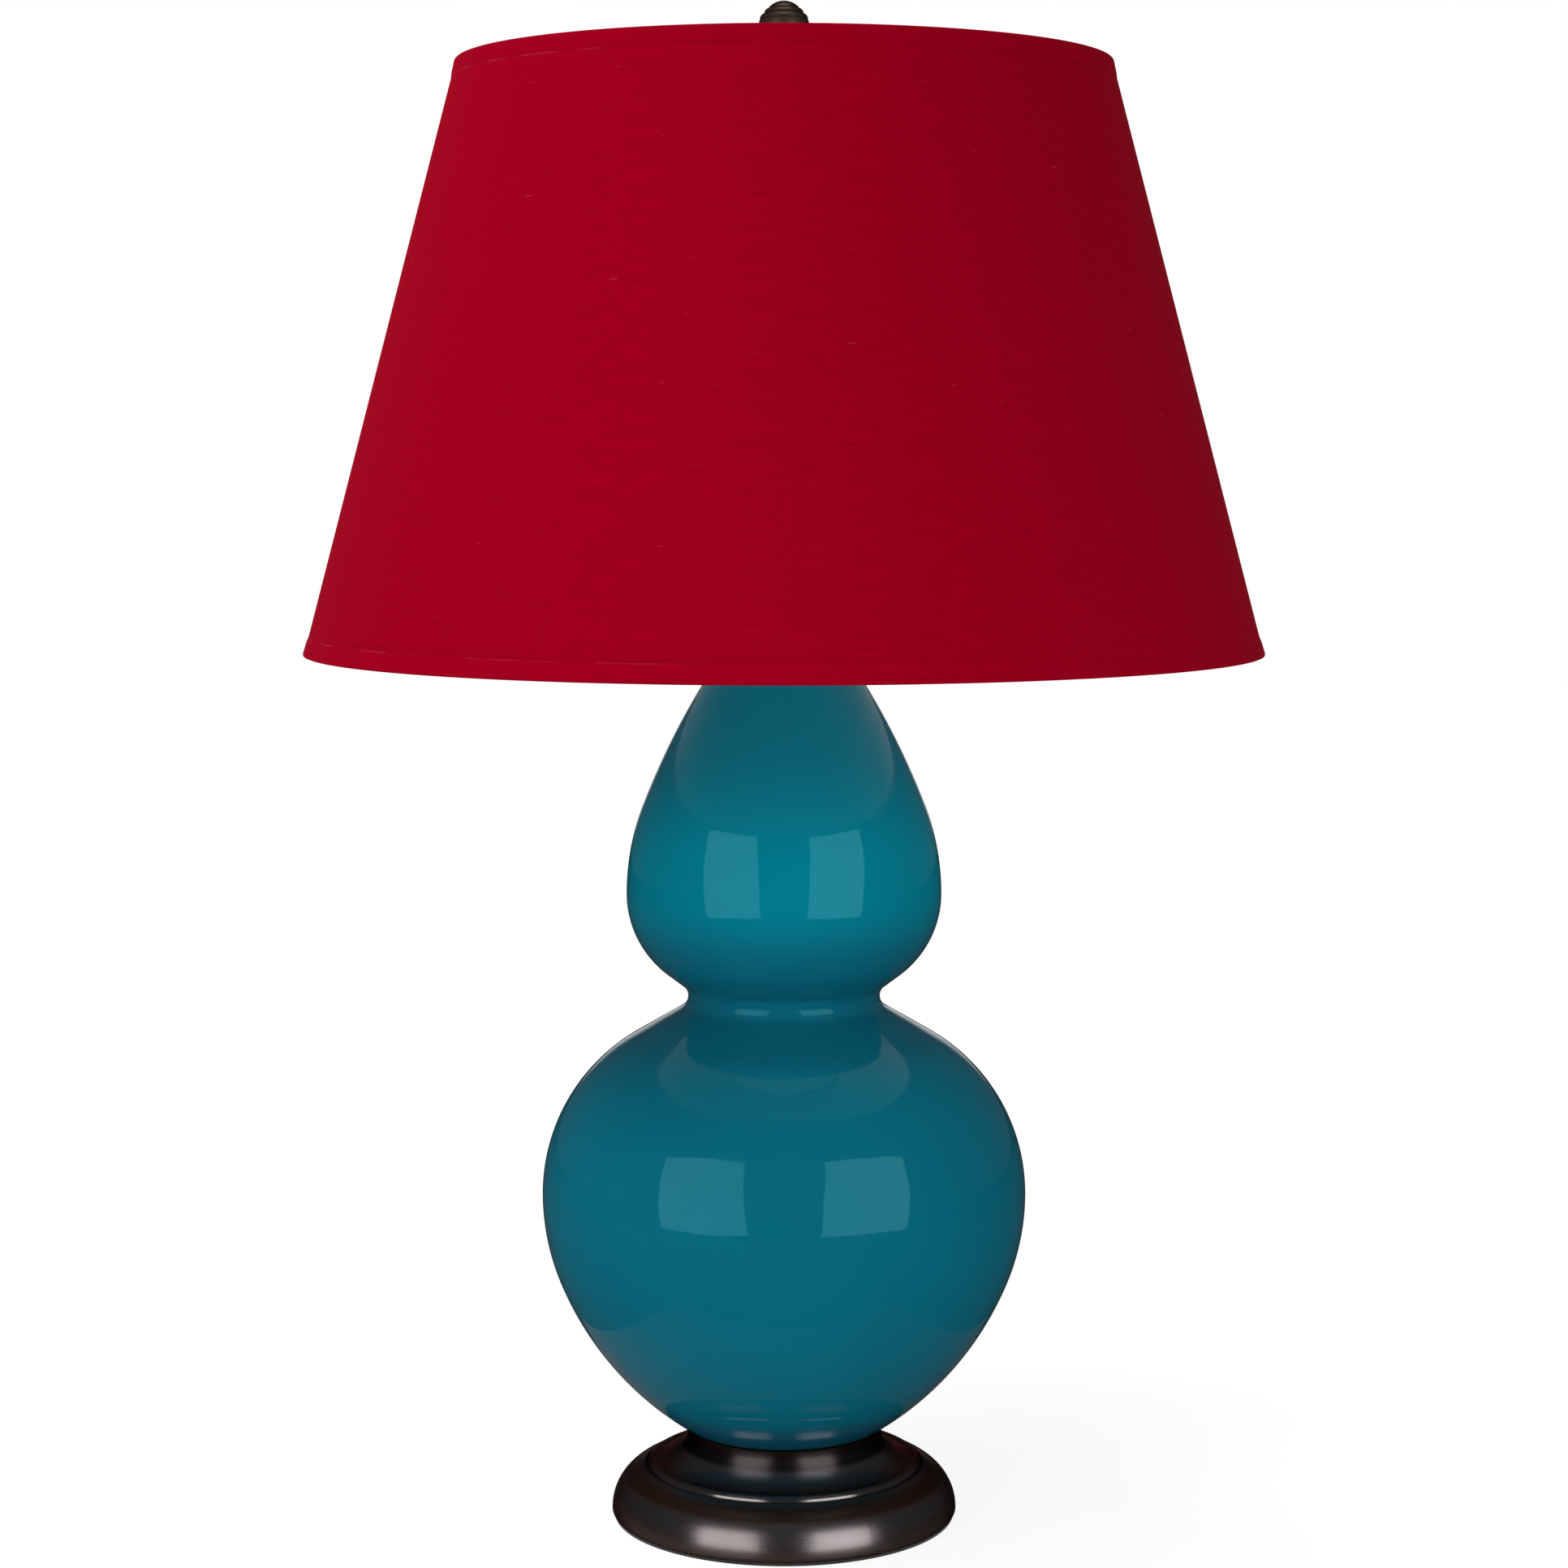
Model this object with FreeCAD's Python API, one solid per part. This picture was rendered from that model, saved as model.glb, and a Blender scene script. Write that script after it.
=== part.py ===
import FreeCAD, Part
import math
import os

# Table lamp: a glazed ceramic double gourd on a stepped metal base, with a turn-switch
# lamp holder, a harp and a fabric empire shade held by a finial.
# Millimetres, +Z up, the lamp stands on z = 0 and its axis is the Z axis.
# The front of the lamp faces -Y and its lead leaves at the back, +Y.

Vec = FreeCAD.Vector
Y_AXIS = Vec(0, 1, 0)

# ---------------------------------------------------------------- driving dimensions
GLUE_GAP = 0.05           # left between bonded or nested thin layers
RUNNING_GAP = 0.15        # radial play of turning and sliding fits

# Metal base: a spun shell with a neck, a small ring and a large quarter round
BASE_R = 89.0             # outer radius at the rim
BASE_WALL = 2.2
BASE_HEIGHT = 45.3        # rim to top face
FOOT_R = 50.6             # ceramic foot that the base carries
BASE_NECK_INSET = 0.4     # base's top edge inside the ceramic foot
RIM_ROUND = 2.4           # rounding of the bottom rim
RIM_RISE = 2.4            # height of the widest point over the rim
DOME_RADIUS = 24.0        # large quarter round
RING_STEP = 18.4          # small ring inside the rim
RING_ROUND = 3.2
RING_DROP = 20.2          # top face down to the widest point of the ring
COVE_RADIUS = 1.3         # small hollow between ring and quarter round
CAVETTO_RADIUS = 16.4     # hollow neck
CAVETTO_DROP = 1.0        # straight land above the hollow
FELT_T = 1.2
FELT_INSET = 1.4          # felt inside the rim
COVER_T = 1.5             # fibreboard disc that closes the base
COVER_PLAY = 0.5
WEIGHT_PLAY = 0.6         # iron weight inside the quarter round

# Ceramic body
FOOT_GASKET_T = 0.8
GASKET_INSET = 3.5        # gasket edge inside the base's top edge
CERAMIC_WALL = 5.0
CERAMIC_FLOOR = 6.0
FLOOR_HOLE_R = 8.0
BELLY_RISE = 121.7        # foot to widest point of the lower bulb
BELLY_R = 123.9
FLANK_RADIUS = 118.0      # below the widest point
FLANK_TURN = 22.0         # degrees of that arc, a flatter arc runs on to the foot
SHOULDER_RADIUS = 94.0    # above the widest point
SHOULDER_TURN = 59.5
WAIST_FILLET = 7.2
BULB_RISE = 154.5         # widest point of the lower bulb to that of the upper one
BULB_R = 80.2
UNDER_RADIUS = 50.9       # below the upper bulb's widest point
UNDER_TURN = 52.7
CROWN_RADIUS = 125.5      # above it
CROWN_TURN = 20.8
NECK_RISE = 128.5         # upper bulb's widest point to the neck
NECK_R = 27.0
NECK_LENGTH = 9.0
CAVITY_STEPS = 2          # straight stretches per arc on the inside of the ceramic

# Central pipe and its fasteners
PIPE_R = 5.0
PIPE_BORE_R = 3.5
PIPE_HOLE_PLAY = 0.6
PIPE_END = 1.0            # pipe beyond the bottom nut
PIPE_CLEAR = 2.0          # pipe's end above the bottom cover
NUT_T = 4.0
NUT_FLATS = 16.0
WASHER_R = 13.0
WASHER_T = 1.6
LOCK_WASHER_R = 9.0
LOCK_WASHER_T = 1.0
LOCK_WASHER_SPLIT = 1.2

# Lead bushing at the back of the base
BUSHING_HEIGHT = 7.5      # axis above the table
BUSHING_R = 4.8
BUSHING_BORE_R = 3.5
BUSHING_FLANGE_R = 5.6
BUSHING_FLANGE_T = 1.6
BUSHING_INSIDE = 3.0      # length inside the wall
BUSHING_SINK = 0.4        # flange's edge sunk in the curve of the base
BUSHING_FLANGE_START = 6.0   # flange's stock inside the rim, trimmed to the curve

# Cap, spacer and saddle on the neck
NECK_GASKET_T = 1.0
CAP_T = 1.2
CAP_OVERHANG = 2.2        # skirt outside the neck
CAP_SKIRT = 4.0           # skirt below the neck's top
CAP_RISE = 6.0
CAP_HUB_R = 11.0
SPACER_R = 8.5
SPACER_WAIST_R = 6.8
SPACER_LENGTH = 11.0
STRAP_T = 1.8             # harp saddle's strap
STRAP_WIDTH = 13.0
SADDLE_HALF = 27.0        # saddle's posts and harp's legs from the axis
SADDLE_RISE = 17.0        # strap's shoulder above the spacer
SADDLE_ROUND = 9.0        # outside radius of the strap's two bends
SADDLE_NUT_T = 3.4

# Harp and its ferrules
POST_R = 2.2
POST_LENGTH = 6.5
WIRE_R = 1.6
HARP_HEIGHT = 242.4       # spacer's top to the seat under the shade
HARP_HALF_WIDTH = 58.0
HARP_STRAIGHT = 24.0      # straight leg above the post, along which the ferrule slides
HARP_OUT_RADIUS = 40.0    # bend out of the straight leg
HARP_BACK_RADIUS = 80.0   # bend back to upright at full width
HARP_CROWN_TURN = 30.0    # degrees of the long upper arc
HARP_CORNER_RADIUS = 26.0
FERRULE_R = 3.9
FERRULE_LENGTH = 14.0
HARP_PLATE = (30.0, 9.0, 2.2)   # flattened top: length, width, thickness
STUD_R = 3.1
STUD_SHANK_R = 2.4
STUD_HEAD_R = 4.2
STUD_HEAD_T = 2.0
STUD_COLLAR_R = 7.0
STUD_COLLAR_T = 1.6
STUD_LENGTH = 12.0

# Lamp holder, medium screw size
HOLDER_HUB_R = 8.4
HOLDER_HUB_LENGTH = 8.0
HOLDER_R = 17.3           # outside of the cap
HOLDER_CAP_HEIGHT = 19.0
HOLDER_WALL = 0.8
HOLDER_LENGTH = 61.0      # cap's foot to the shell's mouth
SHELL_LAP = 4.0           # shell inside the cap
SHELL_BEAD = 3.0          # rolled mouth of the shell
SET_SCREW_R = 1.9
SET_SCREW_OUT = 1.4
INSULATOR_T = 0.8
INSULATOR_DROP = 1.0      # sleeve's end below the shell's mouth
CORE_HEIGHT = 18.0        # moulded core
CORE_FLAT = 10.0          # flats that carry the terminal screws, from the axis
SCREW_SHELL_R = 13.35     # bore that takes the bulb
SCREW_SHELL_T = 0.4
SCREW_SHELL_LENGTH = 23.0
CONTACT_T = 0.6
CONTACT_RISE = 3.0
SWITCH_HEIGHT = 9.0       # stem's axis above the core's foot
STEM_R = 1.8
STEM_HOLE_PLAY = 0.7
STEM_START = 6.0          # inner end from the axis
STEM_OUT = 16.0           # length outside the shell
KNOB_R = 7.0
KNOB_LENGTH = 12.0
KNOB_CLEAR = 4.0          # shell to the knob's grip, half of it taken by the collar
KNOB_FLUTES = 16
KNOB_FLUTE_DEPTH = 0.9
TERMINAL_R = 2.6
TERMINAL_T = 1.8
TERMINAL_SLOT = 0.8

# Light bulb, common pear shape
BULB_CAP_R = 12.9
BULB_CAP_LENGTH = 22.0
BULB_TIP = 3.2            # insulated tip and contact below the cap
BULB_TIP_R = 4.0
BULB_THREAD_PITCH = 3.63
BULB_THREAD_DEPTH = 0.5
BULB_THREAD_START = 0.8
BULB_COLLAR = 3.0         # plain end of the cap next to the glass
GLASS_R = 30.0
GLASS_LENGTH = 85.0
GLASS_NECK_R = 14.5
GLASS_WALL = 1.0
GLASS_FLARE = 4.0         # height over which the neck widens from the cap
GLASS_CHEEK = 35.0        # degrees below the ball's middle where the neck begins

# Shade
SHADE_TOP_R = 163.1       # outermost radii, on the trims
SHADE_BOTTOM_R = 241.3
SHADE_HEIGHT = 293.0
SHADE_RECESS = 15.5       # hub's underside below the top rim
FABRIC_T = 0.6
LINER_T = 0.8
TRIM_T = 0.5
TRIM_HEIGHT = 11.0
TRIM_TURN_IN = 5.5        # height of the part folded over the ring
RING_WIDTH = 2.6
RING_HEIGHT = 3.0
SPOKE_R = 1.6
SPOKE_COUNT = 3
SPOKE_BEND = 30.0         # radius of the bend near the ring
SPOKE_SLOPE = 28.0        # degrees of the raised end
HUB_R = 13.0
HUB_T = 1.6
HUB_HOLE_PLAY = 0.4
HUB_LAP = 2.0             # spoke's end inside the hub
SEAT_PLAY = 1.5           # spokes kept clear of the finial's foot and the stud's collar

# Finial
FINIAL_HEIGHT = 44.4
FINIAL_FOOT_R = 8.5
FINIAL_FOOT_T = 2.6
FINIAL_NECK_R = 5.6
FINIAL_KNOB_HEIGHT = 19.0
# radius of each stacked tier's lower edge, and its depth below the finial's top
FINIAL_TIERS = ((12.9, 17.5), (12.0, 8.7), (9.8, 5.8), (7.5, 3.2))
FINIAL_BULGE = 0.5        # rise of a tier's rounded side over its chord
FINIAL_GROOVE = 0.4       # depth and width of the grooves between tiers
FINIAL_LIP = 1.5          # lowest tier beyond the sweep under it
FINIAL_BORE = 13.0

# ---------------------------------------------------------------- derived heights and radii
RIM_Z = FELT_T
BASE_TOP_Z = RIM_Z + BASE_HEIGHT
FOOT_Z = BASE_TOP_Z + FOOT_GASKET_T
BELLY_Z = FOOT_Z + BELLY_RISE
BULB_Z = BELLY_Z + BULB_RISE
NECK_Z = BULB_Z + NECK_RISE
NECK_TOP_Z = NECK_Z + NECK_LENGTH
CAP_Z = NECK_TOP_Z + NECK_GASKET_T
SPACER_Z = CAP_Z + CAP_RISE + CAP_T
SADDLE_Z = SPACER_Z + SPACER_LENGTH
SHOULDER_Z = SADDLE_Z + SADDLE_RISE
POST_TOP_Z = SHOULDER_Z + POST_LENGTH
SADDLE_NUT_Z = SADDLE_Z + STRAP_T
HOLDER_Z = SADDLE_NUT_Z + SADDLE_NUT_T
SEAT_Z = SADDLE_Z + HARP_HEIGHT
HUB_Z = SEAT_Z + STUD_COLLAR_T
FINIAL_Z = HUB_Z + HUB_T
SHADE_TOP_Z = HUB_Z + SHADE_RECESS
SHADE_BOTTOM_Z = SHADE_TOP_Z - SHADE_HEIGHT
CORE_Z = HOLDER_Z + HOLDER_CAP_HEIGHT - SHELL_LAP + INSULATOR_T
CORE_TOP_Z = CORE_Z + CORE_HEIGHT
SHELL_TOP_Z = HOLDER_Z + HOLDER_LENGTH
SWITCH_Z = CORE_Z + SWITCH_HEIGHT
BULB_TIP_Z = CORE_TOP_Z + CONTACT_RISE
BULB_CAP_Z = BULB_TIP_Z + BULB_TIP
GLASS_Z = BULB_CAP_Z + BULB_CAP_LENGTH
BASE_NECK_R = FOOT_R - BASE_NECK_INSET
RING_R = BASE_R - RING_STEP
FELT_R = BASE_R - FELT_INSET
PIPE_HOLE_R = PIPE_R + PIPE_HOLE_PLAY
SHELL_R = HOLDER_R - HOLDER_WALL - GLUE_GAP
INSULATOR_R = SHELL_R - HOLDER_WALL - GLUE_GAP
CORE_R = INSULATOR_R - INSULATOR_T - GLUE_GAP
STEM_HOLE_R = STEM_R + STEM_HOLE_PLAY
FERRULE_BORE_R = POST_R + RUNNING_GAP
SHADE_LEAN = (SHADE_BOTTOM_R - SHADE_TOP_R) / SHADE_HEIGHT


# ---------------------------------------------------------------- drawing helpers
class Outline:
    """A closed half section in the XZ plane, drawn as (radius, height) lines and arcs."""

    def __init__(self, start):
        self.first = self.at = Vec(start[0], 0, start[1])
        self.edges = []

    def line(self, *points):
        for radius, height in points:
            end = Vec(radius, 0, height)
            if (end - self.at).Length > 1e-6:
                self.edges.append(Part.LineSegment(self.at, end).toShape())
                self.at = end
        return self

    def arc(self, centre, end):
        """The shorter arc about a centre, from the current point to end."""
        middle = Vec(centre[0], 0, centre[1])
        end = Vec(end[0], 0, end[1])
        across = (self.at - middle) + (end - middle)
        top = middle + across.normalize() * (end - middle).Length
        self.edges.append(Part.Arc(self.at, top, end).toShape())
        self.at = end
        return self

    def wire(self):
        return Part.Wire(self.edges)

    def turned(self):
        """The closed outline turned once round the Z axis."""
        self.line((self.first.x, self.first.z))
        return Part.Face(self.wire()).revolve(Vec(0, 0, 0), Vec(0, 0, 1), 360)


def turned(*points):
    return Outline(points[0]).line(*points[1:]).turned()


def tube(outer, inner, bottom, top):
    """A plain round tube, washer or ring on the Z axis."""
    solid = Part.makeCylinder(outer, top - bottom, Vec(0, 0, bottom))
    if inner:
        solid = solid.cut(Part.makeCylinder(inner, top - bottom, Vec(0, 0, bottom)))
    return solid


def hexagon(flats, bore, bottom, top):
    """A hexagon nut on the Z axis, given by the distance across its flats."""
    corner = flats / math.sqrt(3)
    ring = [Vec(corner * math.cos(math.radians(a)), corner * math.sin(math.radians(a)), bottom)
            for a in range(0, 420, 60)]
    nut = Part.Face(Part.makePolygon(ring)).extrude(Vec(0, 0, top - bottom))
    return nut.cut(Part.makeCylinder(bore, top - bottom, Vec(0, 0, bottom)))


def on_circle(centre, radius, degrees):
    angle = math.radians(degrees)
    return (centre[0] + radius * math.cos(angle), centre[1] + radius * math.sin(angle))


def tangent_centre(point, centre, target):
    """Centre of the arc that leaves point tangent to the circle about centre, for target."""
    inward = Vec(centre[0] - point[0], centre[1] - point[1], 0).normalize()
    chord = Vec(target[0] - point[0], target[1] - point[1], 0)
    radius = chord.dot(chord) / (2 * inward.dot(chord))
    return (point[0] + inward.x * radius, point[1] + inward.y * radius)


def round_rod(path, radius, start, heading):
    """A round rod along a path that starts at a point in a heading."""
    section = Part.Wire(Part.Circle(start, heading, radius).toShape())
    return path.makePipeShell([section], True, False)


def mirrored(shape):
    return shape.mirror(Vec(0, 0, 0), Vec(1, 0, 0))


# ---------------------------------------------------------------- gourd outline
def waist_fillet(below, above):
    """Ends and centre of the hollow that joins the two bulbs' straight flanks."""
    lower = math.radians(SHOULDER_TURN)
    upper = math.radians(UNDER_TURN)
    up = Vec(-math.sin(lower), math.cos(lower), 0)
    down = Vec(-math.sin(upper), -math.cos(upper), 0)
    start = Vec(below[0], below[1], 0)
    end = Vec(above[0], above[1], 0)
    span = end - start
    along = (span.y * down.x - span.x * down.y) / (up.y * down.x - up.x * down.y)
    corner = start + up * along
    half_turn = (lower + upper) / 2
    room = 0.9 * min(along, (corner - end).Length) / math.tan(half_turn)
    radius = min(WAIST_FILLET, room)
    reach = radius * math.tan(half_turn)
    first = corner - up * reach
    last = corner - down * reach
    centre = first + Vec(math.cos(lower), math.sin(lower), 0) * radius
    return (first.x, first.y), (last.x, last.y), (centre.x, centre.y)


def gourd_arcs():
    """The gourd's outside from foot to neck, as (start, end, centre) arcs joined by lines."""
    foot = (FOOT_R, FOOT_Z)
    belly = (BELLY_R, BELLY_Z)
    bulb = (BULB_R, BULB_Z)
    neck = (NECK_R, NECK_Z)
    flank_centre = (BELLY_R - FLANK_RADIUS, BELLY_Z)
    flank = on_circle(flank_centre, FLANK_RADIUS, -FLANK_TURN)
    shoulder_centre = (BELLY_R - SHOULDER_RADIUS, BELLY_Z)
    shoulder = on_circle(shoulder_centre, SHOULDER_RADIUS, SHOULDER_TURN)
    under_centre = (BULB_R - UNDER_RADIUS, BULB_Z)
    under = on_circle(under_centre, UNDER_RADIUS, -UNDER_TURN)
    crown_centre = (BULB_R - CROWN_RADIUS, BULB_Z)
    crown = on_circle(crown_centre, CROWN_RADIUS, CROWN_TURN)
    waist_start, waist_end, waist_centre = waist_fillet(shoulder, under)
    return [(foot, flank, tangent_centre(flank, flank_centre, foot)),
            (flank, belly, flank_centre),
            (belly, shoulder, shoulder_centre),
            (waist_start, waist_end, waist_centre),
            (under, bulb, under_centre),
            (bulb, crown, crown_centre),
            (crown, neck, tangent_centre(crown, crown_centre, neck))]


def inside_points(arcs, wall, steps):
    """Points one wall inside a run of arcs, a few to each arc."""
    points = []
    for start, end, centre in arcs:
        middle = Vec(centre[0], centre[1], 0)
        first = Vec(start[0], start[1], 0) - middle
        last = Vec(end[0], end[1], 0) - middle
        hollow = centre[0] > start[0]
        radius = first.Length + (wall if hollow else -wall)
        turn = first.getAngle(last)
        for step in range(steps + 1):
            share = step / steps
            lead = math.sin((1 - share) * turn) / math.sin(turn)
            trail = math.sin(share * turn) / math.sin(turn)
            point = middle + (first * lead + last * trail).normalize() * radius
            if not points or math.dist(points[-1], (point.x, point.y)) > 0.5:
                points.append((point.x, point.y))
    return points


def ceramic_body():
    """The gourd as it is thrown: two hollow bulbs luted together at the waist."""
    arcs = gourd_arcs()
    cavity = inside_points(arcs, CERAMIC_WALL, CAVITY_STEPS)
    floor = FOOT_Z + CERAMIC_FLOOR
    cavity = [point for point in cavity if point[1] > floor]
    foot_centre = arcs[0][2]
    foot_radius = math.dist(foot_centre, arcs[0][0]) - CERAMIC_WALL
    floor_r = foot_centre[0] + math.sqrt(foot_radius ** 2 - (floor - foot_centre[1]) ** 2)
    mouth = NECK_R - CERAMIC_WALL
    outline = Outline((FLOOR_HOLE_R, FOOT_Z)).line((FOOT_R, FOOT_Z))
    for start, end, centre in arcs:
        outline.line(start).arc(centre, end)
    outline.line((NECK_R, NECK_TOP_Z), (mouth, NECK_TOP_Z), (mouth, NECK_Z))
    outline.line(*reversed(cavity[:-1]))
    gourd = outline.line((floor_r, floor), (FLOOR_HOLE_R, floor)).turned()
    waist_z = arcs[3][2][1]
    lower = tube(2 * BELLY_R, 0, 0, waist_z)
    return Part.makeCompound([gourd.common(lower), gourd.cut(lower)])


# ---------------------------------------------------------------- metal base
def base_arcs():
    """The base's outside from its top edge to the rim, as (start, end, centre) arcs."""
    land = BASE_TOP_Z - CAVETTO_DROP
    hollow_centre = (BASE_NECK_R + CAVETTO_RADIUS, land)
    ring_z = BASE_TOP_Z - RING_DROP
    ring_centre = (RING_R - RING_ROUND, ring_z)
    ring_top = (RING_R - RING_ROUND, ring_z + RING_ROUND)
    hollow_r = min(ring_top[0], hollow_centre[0])
    hollow_end = (hollow_r, land - math.sqrt(CAVETTO_RADIUS ** 2
                                             - (hollow_r - hollow_centre[0]) ** 2))
    cove_centre = (RING_R + COVE_RADIUS, ring_z)
    cove_end = (cove_centre[0], ring_z - COVE_RADIUS)
    wide = (BASE_R, RIM_Z + RIM_RISE)
    dome_centre = (BASE_R - DOME_RADIUS, RIM_Z + RIM_RISE)
    dome_start = (cove_end[0], dome_centre[1] + math.sqrt(DOME_RADIUS ** 2
                                                          - (cove_end[0] - dome_centre[0]) ** 2))
    return [((BASE_NECK_R, land), hollow_end, hollow_centre),
            (ring_top, (RING_R, ring_z), ring_centre),
            ((RING_R, ring_z), cove_end, cove_centre),
            (dome_start, wide, dome_centre)]


def weight_seat():
    """Height of the flat seat inside the shell, one wall below the small hollow."""
    return base_arcs()[2][1][1] - BASE_WALL


def base_solid():
    """The base's outer form without its hollow."""
    outline = Outline((PIPE_HOLE_R, BASE_TOP_Z)).line((BASE_NECK_R, BASE_TOP_Z))
    for start, end, centre in base_arcs():
        outline.line(start).arc(centre, end)
    rim = (BASE_R - RIM_ROUND, RIM_Z + RIM_RISE)
    outline.arc(rim, (BASE_R - RIM_ROUND, RIM_Z + RIM_RISE - RIM_ROUND))
    return outline.line((BASE_R - RIM_ROUND, RIM_Z), (PIPE_HOLE_R, RIM_Z)).turned()


def base_hollow():
    """The space inside the shell, with a flat seat for the weight."""
    hollow, ring, cove, dome = base_arcs()
    seat = weight_seat()
    ceiling = BASE_TOP_Z - BASE_WALL
    throat = inside_points([hollow], BASE_WALL, 4)
    bead = inside_points([ring], BASE_WALL, 2)
    side = inside_points([dome], BASE_WALL, 3)
    points = [(PIPE_HOLE_R, ceiling), (BASE_NECK_R - BASE_WALL, ceiling)]
    points += [point for point in throat if point[1] < ceiling]
    points += [point for point in bead if point[1] < throat[-1][1]]
    points += [(bead[-1][0], seat), (side[0][0], seat)]
    points += [point for point in side[1:] if point[1] < seat]
    return turned(*points, (BASE_R - BASE_WALL, RIM_Z), (PIPE_HOLE_R, RIM_Z))


def bushing_drill(radius, start, end):
    """A cylinder along +Y on the bushing's axis."""
    return Part.makeCylinder(radius, end - start, Vec(0, start, BUSHING_HEIGHT), Y_AXIS)


def metal_base():
    shell = base_solid().cut(base_hollow())
    hole = bushing_drill(BUSHING_R + GLUE_GAP, BASE_R - DOME_RADIUS, BASE_R + DOME_RADIUS)
    return shell.cut(hole)


def cord_bushing():
    """Flanged bushing whose flange follows the curve of the base."""
    face = BASE_R + BUSHING_FLANGE_T - BUSHING_SINK
    inner = BASE_R - BASE_WALL - BUSHING_INSIDE
    flange = bushing_drill(BUSHING_FLANGE_R, BASE_R - BUSHING_FLANGE_START, face).cut(base_solid())
    barrel = bushing_drill(BUSHING_R, inner, face)
    return barrel.fuse(flange).removeSplitter().cut(bushing_drill(BUSHING_BORE_R, inner, face))


def felt_pad():
    return tube(FELT_R, 0, 0, FELT_T)


def bottom_cover():
    return tube(BASE_R - BASE_WALL - COVER_PLAY, 0, RIM_Z, RIM_Z + COVER_T)


def base_weight():
    """Iron ring that fills the height between the seat and the clamping stack."""
    dome_top = inside_points([base_arcs()[3]], BASE_WALL, 3)[0]
    return tube(dome_top[0] - WEIGHT_PLAY, PIPE_HOLE_R, bottom_stack()[0], weight_seat())


# ---------------------------------------------------------------- pipe and clamping stack
def bottom_stack():
    """Shared faces of weight, washer, lock washer and nut, and the nut's own foot."""
    nut = RIM_Z + COVER_T + PIPE_CLEAR + PIPE_END
    lock = nut + NUT_T
    washer = lock + LOCK_WASHER_T
    return washer + WASHER_T, washer, lock, nut


def bottom_washer():
    weight, washer, lock, nut = bottom_stack()
    return tube(WASHER_R, PIPE_HOLE_R, washer, weight)


def lock_washer():
    weight, washer, lock, nut = bottom_stack()
    ring = tube(LOCK_WASHER_R, PIPE_HOLE_R, lock, washer)
    split = Part.makeBox(LOCK_WASHER_R, LOCK_WASHER_SPLIT, LOCK_WASHER_T,
                         Vec(0, -LOCK_WASHER_SPLIT / 2, lock))
    return ring.cut(split)


def bottom_nut():
    weight, washer, lock, nut = bottom_stack()
    return hexagon(NUT_FLATS, PIPE_R, nut, lock)


def lamp_pipe():
    bottom = bottom_stack()[3] - PIPE_END
    return tube(PIPE_R, PIPE_BORE_R, bottom, HOLDER_Z + HOLDER_HUB_LENGTH)


def foot_gasket():
    return tube(BASE_NECK_R - GASKET_INSET, FLOOR_HOLE_R, BASE_TOP_Z, FOOT_Z)


def neck_gasket():
    return tube(NECK_R, NECK_R - CERAMIC_WALL, NECK_TOP_Z, CAP_Z)


def vase_cap():
    """Spun cap with a skirt round the neck and a raised hub for the spacer."""
    skirt = NECK_R + CAP_OVERHANG
    brow = skirt - CAP_T
    return turned((PIPE_HOLE_R, CAP_Z + CAP_RISE), (CAP_HUB_R, CAP_Z + CAP_RISE),
                  (NECK_R - CERAMIC_WALL, CAP_Z), (brow, CAP_Z),
                  (brow, NECK_TOP_Z - CAP_SKIRT), (skirt, NECK_TOP_Z - CAP_SKIRT),
                  (skirt, CAP_Z + CAP_T), (NECK_R - CERAMIC_WALL + CAP_T / 2, CAP_Z + CAP_T),
                  (CAP_HUB_R + CAP_T / 2, CAP_Z + CAP_RISE + CAP_T),
                  (PIPE_HOLE_R, CAP_Z + CAP_RISE + CAP_T))


def neck_spacer():
    """Turned spacer with a hollow waist."""
    top = SPACER_Z + SPACER_LENGTH
    land = SPACER_LENGTH / 5
    low = (SPACER_R, SPACER_Z + land)
    high = (SPACER_R, top - land)
    depth = SPACER_R - SPACER_WAIST_R
    half = (high[1] - low[1]) / 2
    radius = (half ** 2 + depth ** 2) / (2 * depth)
    centre = (SPACER_WAIST_R + radius, low[1] + half)
    outline = Outline((PIPE_HOLE_R, SPACER_Z)).line((SPACER_R, SPACER_Z), low)
    return outline.arc(centre, high).line((SPACER_R, top), (PIPE_HOLE_R, top)).turned()


# ---------------------------------------------------------------- saddle, harp, ferrules
def harp_saddle():
    """Bent strap over the pipe, with a post on each arm for the harp's legs."""
    outside = SADDLE_HALF + STRAP_T / 2
    inside = outside - STRAP_T
    inner_round = SADDLE_ROUND - STRAP_T
    bend = (outside - SADDLE_ROUND, SADDLE_Z + SADDLE_ROUND)
    half = Outline((0, SADDLE_Z)).line((bend[0], SADDLE_Z)).arc(bend, (outside, bend[1]))
    half.line((outside, SHOULDER_Z), (inside, SHOULDER_Z), (inside, bend[1]))
    half.arc(bend, (bend[0], bend[1] - inner_round)).line((0, SADDLE_Z + STRAP_T), (0, SADDLE_Z))
    strap = Part.Face(half.wire()).extrude(Vec(0, STRAP_WIDTH, 0))
    strap.translate(Vec(0, -STRAP_WIDTH / 2, 0))
    pad = Part.makeBox(2 * FERRULE_R, 2 * FERRULE_R, STRAP_T,
                       Vec(SADDLE_HALF - FERRULE_R, -FERRULE_R, SHOULDER_Z - STRAP_T))
    post = Part.makeCylinder(POST_R, POST_LENGTH, Vec(SADDLE_HALF, 0, SHOULDER_Z))
    arm = strap.fuse([pad, post])
    hole = Part.makeCylinder(PIPE_HOLE_R, STRAP_T, Vec(0, 0, SADDLE_Z))
    return arm.fuse(mirrored(arm)).removeSplitter().cut(hole)


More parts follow.
